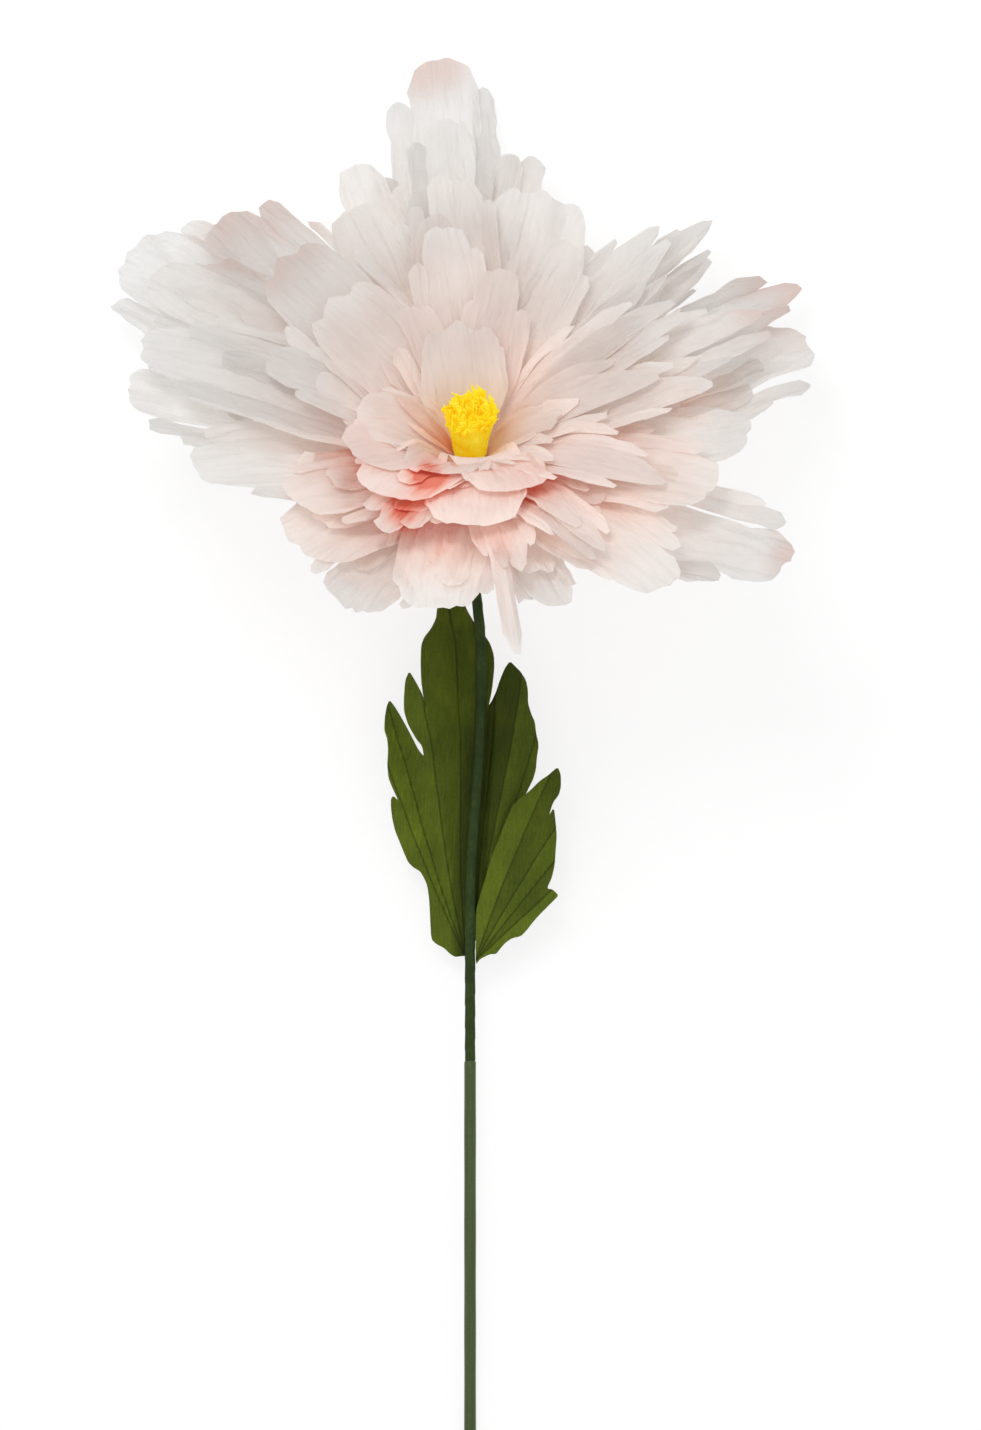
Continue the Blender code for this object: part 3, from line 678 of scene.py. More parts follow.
def petal_finish():
    paper = Finish("petal_crepe")
    along, tone, shade, blushed = paper.marks("tint")
    flat = paper.flat()
    cloudy = paper.noise(paper.place(), 22.0, 3.0)
    streaks = paper.streaks(flat, (26.0, 2.2, 1.0), 3.0)
    ribs = paper.streaks(flat, (170.0, 6.0, 1.0), 2.0)
    folds = paper.streaks(flat, (9.0, 1.6, 1.0), 2.0)
    crease = paper.sum("MINIMUM", paper.size(folds - 0.5) * 9.0, 1.0)
    drift = (cloudy - 0.5) * 0.24 + (streaks - 0.5) * 0.16 + (shade - 0.5) * 0.08 + (0.5 - tone) * 0.16
    colour = paper.ramp(along + drift, (
        (0.0, (0.84, 0.24, 0.16)),
        (0.05, (0.94, 0.51, 0.41)),
        (0.13, (0.96, 0.76, 0.69)),
        (0.24, (0.96, 0.855, 0.81)),
        (0.40, (0.955, 0.89, 0.855)),
        (0.62, (0.925, 0.90, 0.88)),
        (1.0, (0.875, 0.87, 0.86)),
    ))
    colour = paper.mixed("MIX", blushed * cloudy, colour, BLUSH)
    light = (shade - 0.5) * 0.11 + (streaks - 0.5) * 0.06 + (cloudy - 0.5) * 0.14 + 0.98
    colour = paper.shaded(colour, light)
    normal = paper.bump(ribs * 0.18 + streaks * 0.35 + crease, 0.5, 0.0013)
    paper.dress({"Base Color": colour, "Roughness": 0.88, "Normal": normal})
    paper.dress({"Emission Color": colour, "Emission Strength": PASSED_ON})
    through = paper.sum("MINIMUM", along * 0.6 + FOOT_LETS_THROUGH, TIP_LETS_THROUGH)
    paper.thin(colour, through, normal)
    return paper.material


petal_crepe = petal_finish()
print("petals' paper", len(petal_crepe.node_tree.nodes), "nodes")

# %% [markdown]
# Each petal's mesh is made in the flower's own place, so it only has to be put into the scene. It stands
# for its plain sheet of the frame, and it gets its thickness at the end, half of it on each side.

# %% Make the petals
def add_piece(name, mesh, material, nodes):
    """Places a finished mesh in the scene and lets it stand for its nodes of the frame."""
    piece = bpy.data.objects.new(name, mesh)
    bpy.context.scene.collection.objects.link(piece)
    if material.name not in [m.name for m in mesh.materials if m]:
        mesh.materials.append(material)
    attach(piece, "root")
    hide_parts(*nodes)
    return piece


def thicken(piece, thickness):
    """Gives a sheet its thickness, half of it on each side."""
    wall = piece.modifiers.new("paper", "SOLIDIFY")
    wall.thickness = thickness
    wall.offset = 0.0


count = 0
for layer, row in enumerate(PETALS):
    for petal in row:
        count += 1
        name = f"crepe_petal_{count:02d}"
        mesh = make_petal(name, petal, layer, count)
        piece = add_piece(name, mesh, petal_crepe, [f"petal_{count:02d}"])
        thicken(piece, SHEET)
print("petals", count)

# %% [markdown]
# The stamens are a strip of yellow paper, slit and rolled up tight. Rolled up, it is a tuft of hundreds of
# narrow strips that spread a little at the top. Geometry Nodes set them out on a sunflower spiral, which
# fills a disc evenly, and every strip leans out by its distance from the middle.

# %% The stamens' sizes
STAMENS = 430
STAMEN_FOOT = 0.0113
STAMEN_TOP = 0.0185
STAMEN_HEIGHT = 0.050
STAMEN_WIDTH = 0.0021
STAMEN_THICKNESS = 0.0005
STAMEN_ROWS = 7
STAMEN_SHORTEST = 0.66
STAMEN_TALLEST = 1.04
STAMEN_TURNED = 0.9
STAMEN_STRAY = 0.016
STRAY_SCALE = 120.0
FLARE_POWER = 1.5
GOLDEN_ANGLE = math.pi * (3.0 - math.sqrt(5.0))
print("stamens", STAMENS, "strips on a disc of radius", STAMEN_FOOT)

# %% [markdown]
# A Geometry Nodes tree is wired by a few short methods: one does a sum, one gives every strip its own
# number, and one puts three numbers together. The tree then runs once, and its result is kept as a mesh.

# %% A helper for Geometry Nodes
class Wiring(Nodes):
    """A Geometry Nodes tree with named inputs."""

    def __init__(self, name, inputs):
        self.tree = bpy.data.node_groups.new(name, "GeometryNodeTree")
        face = self.tree.interface
        face.new_socket("Geometry", in_out="INPUT", socket_type="NodeSocketGeometry")
        self.named = {}
        for title, kind in inputs.items():
            self.named[title] = face.new_socket(title, in_out="INPUT", socket_type=kind).identifier
        face.new_socket("Geometry", in_out="OUTPUT", socket_type="NodeSocketGeometry")
        self.inputs = self.tree.nodes.new("NodeGroupInput")
        self.result = self.tree.nodes.new("NodeGroupOutput")

    def sum(self, operation, left, right=0.0):
        return self.node("ShaderNodeMath", {"operation": operation}, {0: left, 1: right}).outputs[0]

    def random(self, low, high, seed):
        """A number between two for every point, each time another one."""
        choices = {"data_type": "FLOAT"}
        return self.node("FunctionNodeRandomValue", choices, {2: low, 3: high, "Seed": seed}).outputs[1]

    def xyz(self, x, y, z):
        return self.node("ShaderNodeCombineXYZ", None, {"X": x, "Y": y, "Z": z}).outputs[0]

    def vector(self, operation, left, right):
        """A sum of two vectors, or a vector times a number."""
        second = "Scale" if operation == "SCALE" else 1
        made = self.node("ShaderNodeVectorMath", {"operation": operation}, {0: left, second: right})
        return made.outputs[0]

    def finish(self, geometry, material):
        plain = self.node("GeometryNodeRealizeInstances", None, {"Geometry": geometry}).outputs[0]
        painted = self.node("GeometryNodeSetMaterial", None, {"Geometry": plain})
        painted.inputs["Material"].default_value = material
        self.tree.links.new(painted.outputs[0], self.result.inputs[0])


def baked(name, wiring, sizes):
    """Runs a tree on a throwaway object and keeps the result as a plain mesh."""
    holder = bpy.data.objects.new(name + "_holder", bpy.data.meshes.new(name + "_start"))
    bpy.context.scene.collection.objects.link(holder)
    modifier = holder.modifiers.new("maker", "NODES")
    modifier.node_group = wiring.tree
    for title, value in sizes.items():
        modifier[wiring.named[title]] = value
    graph = bpy.context.evaluated_depsgraph_get()
    graph.update()
    mesh = bpy.data.meshes.new_from_object(holder.evaluated_get(graph), depsgraph=graph)
    mesh.name = name
    holder.modifiers.remove(modifier)
    bpy.data.objects.remove(holder, do_unlink=True)
    return mesh


# %% [markdown]
# The stamens' paper is a strong yellow with a slightly darker cloud here and there. It lets much of the
# light through and, like the petals, gives off a little of its own.

# %% The stamens' paper
def stamen_finish():
    paper = Finish("stamen_crepe")
    place = paper.place()
    speck = paper.noise(place, 420.0, 2.0)
    cloud = paper.noise(place, 90.0, 2.0)
    colour = paper.ramp(cloud * 0.6 + speck * 0.4, (
        (0.30, (1.0, 0.80, 0.02)),
        (0.50, (1.0, 0.92, 0.05)),
        (0.72, (1.0, 0.97, 0.22)),
    ))
    normal = paper.bump(speck, 0.4, 0.0006)
    paper.dress({"Base Color": colour, "Roughness": 0.8, "Normal": normal})
    paper.dress({"Emission Color": colour, "Emission Strength": 0.16})
    paper.thin(colour, 0.6, normal)
    return paper.material


stamen_crepe = stamen_finish()
print("stamens' paper", len(stamen_crepe.node_tree.nodes), "nodes")

# %% [markdown]
# The tree sets out the points of the spiral and stands an upright strip on each one, turned to face about
# outwards. Then it opens the whole tuft towards the top, lets each strip stray a little, and leans the
# tuft along the head's axis.

# %% Wire up and make the tuft
def stamen_fringe(tuft):
    """The upright strips on their spiral, before the tuft opens."""
    given = tuft.inputs.outputs
    points = tuft.node("GeometryNodePoints", None, {"Count": given["Count"]}).outputs[0]
    index = tuft.node("GeometryNodeInputIndex").outputs[0]
    share = tuft.sum("SQRT", tuft.sum("DIVIDE", index, given["Count"]))
    angle = tuft.sum("MULTIPLY", index, GOLDEN_ANGLE)
    radius = tuft.sum("MULTIPLY", share, given["Foot"])
    right = tuft.sum("MULTIPLY", radius, tuft.sum("COSINE", angle))
    up = tuft.sum("MULTIPLY", radius, tuft.sum("SINE", angle))
    spiral = {"Geometry": points, "Position": tuft.xyz(right, up, 0.0)}
    placed = tuft.node("GeometryNodeSetPosition", None, spiral).outputs[0]
    block = {"Size": tuft.xyz(given["Width"], STAMEN_THICKNESS, given["Height"])}
    block.update({"Vertices X": 2, "Vertices Y": 2, "Vertices Z": STAMEN_ROWS})
    strip = tuft.node("GeometryNodeMeshCube", None, block).outputs[0]
    lift = tuft.xyz(0.0, 0.0, tuft.sum("MULTIPLY", given["Height"], 0.5))
    raised = tuft.node("GeometryNodeTransform", None, {"Geometry": strip, "Translation": lift}).outputs[0]
    tall = tuft.random(STAMEN_SHORTEST, STAMEN_TALLEST, 5)
    turn = tuft.sum("ADD", angle, tuft.random(-STAMEN_TURNED, STAMEN_TURNED, 9))
    fringe = tuft.node("GeometryNodeInstanceOnPoints", None, {
        "Points": placed,
        "Instance": raised,
        "Rotation": tuft.xyz(0.0, 0.0, tuft.sum("ADD", turn, math.pi / 2)),
        "Scale": tuft.xyz(1.0, 1.0, tall),
    }).outputs[0]
    return tuft.node("GeometryNodeRealizeInstances", None, {"Geometry": fringe}).outputs[0]


def stamen_wiring(material):
    """The whole tuft: the fringe, opened towards the top, strayed and leaned."""
    kinds = dict.fromkeys(("Foot", "Top", "Height", "Width"), "NodeSocketFloat")
    tuft = Wiring("stamen_tuft", {"Count": "NodeSocketInt", **kinds})
    given = tuft.inputs.outputs
    fringe = stamen_fringe(tuft)
    here = tuft.node("GeometryNodeInputPosition").outputs[0]
    parts = tuft.node("ShaderNodeSeparateXYZ", None, {0: here}).outputs
    rise = tuft.sum("DIVIDE", parts["Z"], given["Height"])
    flare = tuft.sum("SUBTRACT", tuft.sum("DIVIDE", given["Top"], given["Foot"]), 1.0)
    wide = tuft.sum("ADD", 1.0, tuft.sum("MULTIPLY", flare, tuft.sum("POWER", rise, FLARE_POWER)))
    right = tuft.sum("MULTIPLY", parts["X"], wide)
    up = tuft.sum("MULTIPLY", parts["Y"], wide)
    drift = tuft.node("ShaderNodeTexNoise", None, {"Vector": here, "Scale": STRAY_SCALE, "Detail": 1.0})
    stray = tuft.vector("SUBTRACT", drift.outputs["Color"], (0.5, 0.5, 0.5))
    loose = tuft.sum("MULTIPLY", tuft.sum("POWER", rise, 2.0), STAMEN_STRAY)
    moved = tuft.vector("ADD", tuft.xyz(right, up, parts["Z"]), tuft.vector("SCALE", stray, loose))
    shaped = tuft.node("GeometryNodeSetPosition", None, {"Geometry": fringe, "Position": moved})
    leaning = tuft.node("GeometryNodeTransform", None, {
        "Geometry": shaped.outputs[0],
        "Translation": head_point(0.0, core_top + PAPER_GAP, 0.0),
        "Rotation": (-HEAD_TILT, 0.0, 0.0),
    })
    tuft.finish(leaning.outputs[0], material)
    return tuft


tuft_sizes = {"Count": STAMENS, "Foot": STAMEN_FOOT, "Top": STAMEN_TOP}
tuft_sizes.update({"Height": STAMEN_HEIGHT, "Width": STAMEN_WIDTH})
tuft_mesh = baked("stamen_tuft", stamen_wiring(stamen_crepe), tuft_sizes)
add_piece("stamen_tuft", tuft_mesh, stamen_crepe, ["stamen_fringe"])
print("stamen faces", len(tuft_mesh.polygons))

# %% [markdown]
# The stem is a steel wire: paper tape is wound round its upper part, and below the joint it stands in a
# coated rod. Both parts follow one line, which bends at the neck and then runs almost straight.

# %% The line of the stem
FLOOR = -HEAD.z
CORE_BACK = 0.014
NECK_STRAIGHT = 0.003
NECK_BEND_RADIUS = 0.030
STEM_REACH = 0.702
JOINT_REACH = 0.407
WRAP_RADIUS = 0.0038
LOWER_RADIUS = 0.0042
STEM_BOW = 0.0078
BOW_FROM = 0.300
BOW_TO = 0.030


def neck_point(turned):
    """A point of the neck, from the head's middle, once it has turned so far from the head's axis."""
    tilt = math.pi / 2 - HEAD_TILT
    back = head_point(0.0, -CORE_BACK - NECK_STRAIGHT, 0.0) - HEAD
    run = NECK_BEND_RADIUS * (math.sin(tilt) - math.sin(tilt - turned))
    drop = NECK_BEND_RADIUS * (math.cos(tilt - turned) - math.cos(tilt))
    return back + Vector((0.0, -run, -drop))


slope = 0.0
for _ in range(20):
    bend_end = neck_point(math.pi / 2 - HEAD_TILT - slope)
    slope = math.atan2(bend_end.z - (FLOOR + LOWER_RADIUS), STEM_REACH + bend_end.y)


def stem_spot(reach):
    """The middle of the straight stem, so far below the flower's middle."""
    share = (BOW_FROM - reach) / (BOW_FROM - BOW_TO)
    aside = STEM_BOW * smooth(share / 0.55) * smooth((1.0 - share) / 0.35)
    return Vector((aside, -reach, bend_end.z - (reach + bend_end.y) * math.tan(slope)))


print("slope of the straight stem in degrees", round(math.degrees(slope), 2))

# %% [markdown]
# A round skin follows a line: a ring of points stands square to the line at each step, and the ring's
# radius may change along the line and round it.

# %% A round skin along a line
UPRIGHT = Vector((0.0, 0.0, 1.0))


def tube(name, path, radius_at, sides):
    """A round skin along a path, with its length and turn as a UV map."""
    body = bmesh.new()
    flat = body.loops.layers.uv.new("flat")
    rings = []
    walked = 0.0
    for k, point in enumerate(path):
        before = path[max(k - 1, 0)]
        after = path[min(k + 1, len(path) - 1)]
        if k:
            walked += (point - path[k - 1]).length
        forward = (after - before).normalized()
        side = forward.cross(UPRIGHT).normalized()
        up = side.cross(forward)
        ring = []
        for n in range(sides):
            angle = math.tau * n / sides
            reach = radius_at(walked, angle)
            offset = reach * (math.cos(angle) * side + math.sin(angle) * up)
            ring.append(body.verts.new(HEAD + point + offset))
        rings.append((ring, walked))
    for (ring, start), (following, end) in zip(rings, rings[1:]):
        for n in range(sides):
            after = (n + 1) % sides
            face = body.faces.new((ring[n], ring[after], following[after], following[n]))
            spots = ((n, start), (n + 1, start), (n + 1, end), (n, end))
            for loop, (turn, length) in zip(face.loops, spots):
                loop[flat].uv = (turn / sides, length)
    body.faces.new(list(reversed(rings[0][0])))
    body.faces.new(rings[-1][0])
    bmesh.ops.recalc_face_normals(body, faces=body.faces)
    mesh = bpy.data.meshes.new(name)
    body.to_mesh(mesh)
    body.free()
    mesh.shade_smooth()
    mesh.set_sharp_from_angle(angle=math.radians(50))
    return mesh


print("height of the stem's foot over the floor", round(stem_spot(STEM_REACH).z - FLOOR, 4))

# %% [markdown]
# The tape is wound like a bandage, so its edge runs round the stem in a helix and each turn steps down onto
# the one before it. The step is in the mesh: the radius grows by a fraction of a millimetre along each turn
# and drops back at the tape's edge. The rod below has a smooth coat with faint marks along it.

# %% The stem's finishes
TAPE_PITCH = 0.016
TAPE_STEP = 0.00030
TAPE_RISE = 0.85
STEM_SIDES = 28


def tape_finish():
    tape = Finish("stem_tape_paper")
    wrinkles = tape.streaks(tape.flat(), (9.0, 260.0, 1.0), 3.0)
    cloud = tape.noise(tape.place(), 60.0, 3.0)
    colour = tape.ramp(wrinkles * 0.45 + cloud * 0.55, (
        (0.25, (0.014, 0.028, 0.006)),
        (0.50, (0.028, 0.050, 0.010)),
        (0.80, (0.055, 0.090, 0.020)),
    ))
    tape.dress({"Base Color": colour, "Roughness": 0.62 + wrinkles * 0.25})
    tape.dress({"Specular IOR Level": 0.2, "Normal": tape.bump(wrinkles, 0.5, 0.0006)})
    return tape.material


def coat_finish():
    coat = Finish("stem_coating")
    long_marks = coat.streaks(coat.flat(), (14.0, 9.0, 1.0), 4.0)
    fine = coat.noise(coat.place(), 700.0, 2.0)
    colour = coat.ramp(long_marks * 0.75 + fine * 0.25, (
        (0.28, (0.040, 0.064, 0.018)),
        (0.52, (0.066, 0.096, 0.030)),
        (0.80, (0.105, 0.140, 0.055)),
    ))
    coat.dress({"Base Color": colour, "Roughness": 0.38 + long_marks * 0.22})
    coat.dress({"Specular IOR Level": 0.3, "Normal": coat.bump(fine, 0.25, 0.0003)})
    return coat.material


print("turns of tape", round(JOINT_REACH / TAPE_PITCH, 1))

# %% [markdown]
# The taped part starts at the core's back, goes round the neck and ends at the joint. The coated rod goes
# on from there, a hair's breadth lower, to the foot.

# %% Make the stem
NECK_STEPS = 12
UPPER_STEPS = 190
LOWER_STEPS = 40
ROUNDED_EDGE = 0.0005
UNEVEN = 0.00006


def wound(walked, angle):
    """The tape's radius: it climbs along each turn and steps down at the tape's edge."""
    turn = (walked / TAPE_PITCH + angle / math.tau) % 1.0
    return WRAP_RADIUS - TAPE_STEP + TAPE_STEP * min(turn / TAPE_RISE, (1.0 - turn) / (1.0 - TAPE_RISE))


full_turn = math.pi / 2 - HEAD_TILT - slope
upper_path = [head_point(0.0, -CORE_BACK - PAPER_GAP, 0.0) - HEAD]
upper_path += [neck_point(full_turn * k / NECK_STEPS) for k in range(NECK_STEPS)]
upper_reach = [mix(-bend_end.y, JOINT_REACH, k / UPPER_STEPS) for k in range(UPPER_STEPS + 1)]
upper_path += [stem_spot(reach) for reach in upper_reach]
upper_mesh = tube("taped_stem", upper_path, wound, STEM_SIDES)
add_piece("taped_stem", upper_mesh, tape_finish(), ["stem_wrap"])

lower_path = [stem_spot(JOINT_REACH + PAPER_GAP + step) for step in (0.0, 0.0004)]
lower_reach = [mix(JOINT_REACH + 0.002, STEM_REACH, k / LOWER_STEPS) for k in range(LOWER_STEPS + 1)]
lower_path += [stem_spot(reach) for reach in lower_reach]


def coated(walked, angle):
    """The rod's top edge is rounded, and the coating is a little uneven."""
    edge = ROUNDED_EDGE * (1.0 - smooth(walked / 0.0012))
    return LOWER_RADIUS - edge - UNEVEN * (1.0 + math.sin(walked / 0.011 + 2.0 * math.sin(angle)))


lower_mesh = tube("coated_stem", lower_path, coated, STEM_SIDES)
add_piece("coated_stem", lower_mesh, coat_finish(), ["lower_stem"])
print("stem length", round(STEM_REACH, 3))

# %% [markdown]
# The leaves are sheets of stiffer green crepe, cut with scissors and then folded. Each one starts as its
# cut outline. Rounding the corners, and slicing the sheet on a fine grid, gives it enough
# points to take its folds.

# %% The leaves' outlines: metres right of the stem and below the flower's middle
LEAF_LEFT = (
    (-0.0254, 0.0812), (-0.0285, 0.0896), (-0.0300, 0.0966), (-0.0341, 0.1036), (-0.0395, 0.1099),
    (-0.0419, 0.1155), (-0.0425, 0.1260), (-0.0421, 0.1400), (-0.0407, 0.1512), (-0.0378, 0.1610),
    (-0.0414, 0.1498), (-0.0463, 0.1407), (-0.0505, 0.1337), (-0.0533, 0.1400), (-0.0543, 0.1540),
    (-0.0539, 0.1624), (-0.0508, 0.1715), (-0.0448, 0.1813), (-0.0403, 0.1862), (-0.0385, 0.1939),
    (-0.0430, 0.1890), (-0.0484, 0.1792), (-0.0566, 0.1652), (-0.0610, 0.1582), (-0.0645, 0.1540),
    (-0.0665, 0.1589), (-0.0674, 0.1666), (-0.0675, 0.1750), (-0.0651, 0.1813), (-0.0640, 0.1890),
    (-0.0640, 0.1995), (-0.0626, 0.2086), (-0.0593, 0.2156), (-0.0544, 0.2247), (-0.0582, 0.2212),
    (-0.0597, 0.2233), (-0.0592, 0.2296), (-0.0575, 0.2380), (-0.0548, 0.2464), (-0.0507, 0.2548),
    (-0.0475, 0.2618), (-0.0443, 0.2681), (-0.0406, 0.2716), (-0.0356, 0.2744), (-0.0326, 0.2793),
    (-0.0303, 0.2842), (-0.0287, 0.2940), (-0.0280, 0.3080), (-0.0273, 0.3220), (-0.0238, 0.3255),
    (-0.0182, 0.3283), (-0.0140, 0.3325), (-0.0105, 0.3346), (-0.0056, 0.3339), (0.0000, 0.3339),
    (0.0028, 0.3220), (0.0032, 0.2660), (0.0019, 0.2100), (0.0030, 0.1680), (0.0055, 0.1575),
    (0.0076, 0.1470), (0.0093, 0.1316), (0.0090, 0.1225), (0.0065, 0.1141), (0.0026, 0.1078),
    (-0.0036, 0.0994), (-0.0077, 0.0910), (-0.0102, 0.0826),
)
LEAF_BACK = (
    (0.0202, 0.1267), (0.0167, 0.1316), (0.0132, 0.1400), (0.0104, 0.1484), (0.0069, 0.1561),
    (-0.0010, 0.1652), (-0.0010, 0.1960), (-0.0010, 0.2380), (-0.0010, 0.2800), (-0.0010, 0.3370),
    (0.0140, 0.2940), (0.0235, 0.2660), (0.0302, 0.2324), (0.0360, 0.2170), (0.0390, 0.2100),
    (0.0406, 0.2030), (0.0407, 0.1946), (0.0415, 0.1855), (0.0390, 0.1764), (0.0380, 0.1694),
    (0.0350, 0.1631), (0.0328, 0.1561), (0.0328, 0.1470), (0.0314, 0.1400), (0.0279, 0.1344),
    (0.0244, 0.1309),
)
LEAF_FRONT = (
    (0.0558, 0.2009), (0.0499, 0.2065), (0.0439, 0.2107), (0.0381, 0.2170), (0.0342, 0.2205),
    (0.0302, 0.2233), (0.0257, 0.2289), (0.0223, 0.2387), (0.0189, 0.2492), (0.0154, 0.2597),
    (0.0119, 0.2730), (0.0082, 0.2870), (0.0000, 0.3024), (0.0000, 0.3220), (0.0000, 0.3402),
    (0.0070, 0.3360), (0.0140, 0.3325), (0.0182, 0.3325), (0.0210, 0.3290), (0.0245, 0.3248),
    (0.0294, 0.3213), (0.0357, 0.3199), (0.0392, 0.3164), (0.0441, 0.3101), (0.0490, 0.3045),
    (0.0574, 0.2961), (0.0622, 0.2912), (0.0579, 0.2870), (0.0537, 0.2863), (0.0570, 0.2786),
    (0.0586, 0.2695), (0.0587, 0.2590), (0.0587, 0.2485), (0.0569, 0.2380), (0.0552, 0.2296),
    (0.0521, 0.2352), (0.0542, 0.2261), (0.0580, 0.2205), (0.0590, 0.2149), (0.0583, 0.2065),
)
print("points in the leaves' outlines", len(LEAF_LEFT), len(LEAF_BACK), len(LEAF_FRONT))

# %% [markdown]
# A leaf is folded along lines that all start at its foot, like a fan, and between two folds it is flat. One
# leaf is tucked behind the stem by its edge. A faint crinkle keeps the facets from being quite flat.

# %% Cut and fold a leaf
LEAF_GRID = 0.003
SEAT = WRAP_RADIUS + 1.5 * PAPER_GAP
LEAF_SHEET = 0.0005
LEAF_CRINKLE = 0.0007
CORNER_CUT = 0.18
FOLDS_FROM = 0.012
TUCKED_TO = 0.0062
TUCK_WIDTH = 0.005
SHADE_RIGHT = 0.006
SHADE_DOWN = 0.045


def rounded(outline):
    """Cuts every corner off a little way along its sides."""
    points = [Vector(point) for point in outline]
    cut = []
    for here, after in zip(points, points[1:] + points[:1]):
        cut += [here.lerp(after, CORNER_CUT), here.lerp(after, 1.0 - CORNER_CUT)]
    return cut


def fan(right, down, leaf):
    """Direction from the leaf's foot in degrees, and distance from it."""
    aside, up = right - leaf["foot"][0], leaf["foot"][1] - down
    return math.degrees(math.atan2(aside, up)), math.hypot(aside, up)


def fan_colour(angle):
    """A fan's angle as a number from 0 to 1, which is the range of a colour ramp."""
    return angle / 100.0 + 0.5


def folded(right, down, leaf):
    """Height of a sheet that is folded along lines from its foot, so every facet stays flat."""
    angle, reach = fan(right, down, leaf)
    folds = leaf["folds"]
    height = folds[0][1] if angle < folds[0][0] else folds[-1][1]
    for (low, start), (high, end) in zip(folds, folds[1:]):
        if low <= angle <= high:
            height = mix(start, end, (angle - low) / (high - low))
    beside = max(abs(right) - SEAT, 0.0)
    return leaf["lift"] + leaf["rise"] * beside + height * reach * smooth(beside / FOLDS_FROM)


def leaf_height(right, down, leaf):
    """Height of a leaf over the stem's line, with its crinkle and, for one leaf, its tucked edge."""
    height = folded(right, down, leaf)
    if leaf["tuck"]:
        height = mix(leaf["tuck"], height, smooth((right - TUCKED_TO) / TUCK_WIDTH))
    return height + LEAF_CRINKLE * noise.noise(Vector((right * 110.0, down * 45.0, leaf["lift"] * 900.0)))


def leaf_shadow(right, down, leaf):
    """How much of the shade beside the stem falls on a spot, from 0 to 1."""
    from_right, from_down, _ = leaf["shadow"]
    return smooth((right - from_right) / SHADE_RIGHT) * smooth((down - from_down) / SHADE_DOWN)


def make_leaf(name, leaf):
    """Cuts a leaf, slices it on a grid, folds it and lays it beside the stem."""
    cut = bmesh.new()
    off_level = max(abs(leaf["lift"]) - LEAF_SHEET / 2, 0.0)
    seat = math.sqrt(SEAT * SEAT - off_level * off_level) if off_level < SEAT else SEAT
    corners = rounded([(right if right else seat, down) for right, down in leaf["outline"]])
    cut.faces.new([cut.verts.new((point.x, -point.y, 0.0)) for point in corners])
    for axis in (0, 1):
        low = min(corner.co[axis] for corner in cut.verts)
        high = max(corner.co[axis] for corner in cut.verts)
        normal = (1.0, 0.0, 0.0) if axis == 0 else (0.0, 1.0, 0.0)
        for k in range(1, math.ceil((high - low) / LEAF_GRID)):
            place = [0.0, 0.0, 0.0]
            place[axis] = low + k * LEAF_GRID
            every = cut.verts[:] + cut.edges[:] + cut.faces[:]
            bmesh.ops.bisect_plane(cut, geom=every, plane_co=place, plane_no=normal, dist=1e-5)
    flat = cut.loops.layers.uv.new("flat")
    marks = cut.verts.layers.float_color.new("fan")
    for face in cut.faces:
        for loop in face.loops:
            loop[flat].uv = (loop.vert.co.x * UV_SCALE, loop.vert.co.y * UV_SCALE)
    bmesh.ops.triangulate(cut, faces=cut.faces)
    for corner in cut.verts:
        right, down = corner.co.x, -corner.co.y
        middle = stem_spot(down)
        angle, reach = fan(right, down, leaf)
        corner[marks] = (fan_colour(angle), reach, leaf_shadow(right, down, leaf), 1.0)
        height = leaf_height(right, down, leaf)
        corner.co = HEAD + Vector((middle.x + right, -down, middle.z + height))
    for edge in cut.edges:
        edge.smooth = not edge.is_boundary
    mesh = bpy.data.meshes.new(name)
    cut.to_mesh(mesh)
    cut.free()
    return mesh


print("a leaf's seat beside the stem", round(SEAT, 5))

# %% [markdown]
# Each facet of a leaf catches the light in its own way, so each one has its own painted light and shade, and
# a line of painted shade marks every fold. The shader finds the facets by the fan's angle, which every point
# carries.

# %% The leaves' paper
FOLD_SHADE_WIDTH = 0.0006
FOLD_SHADE_DEPTH = 0.55
FACET_EDGE = 0.002


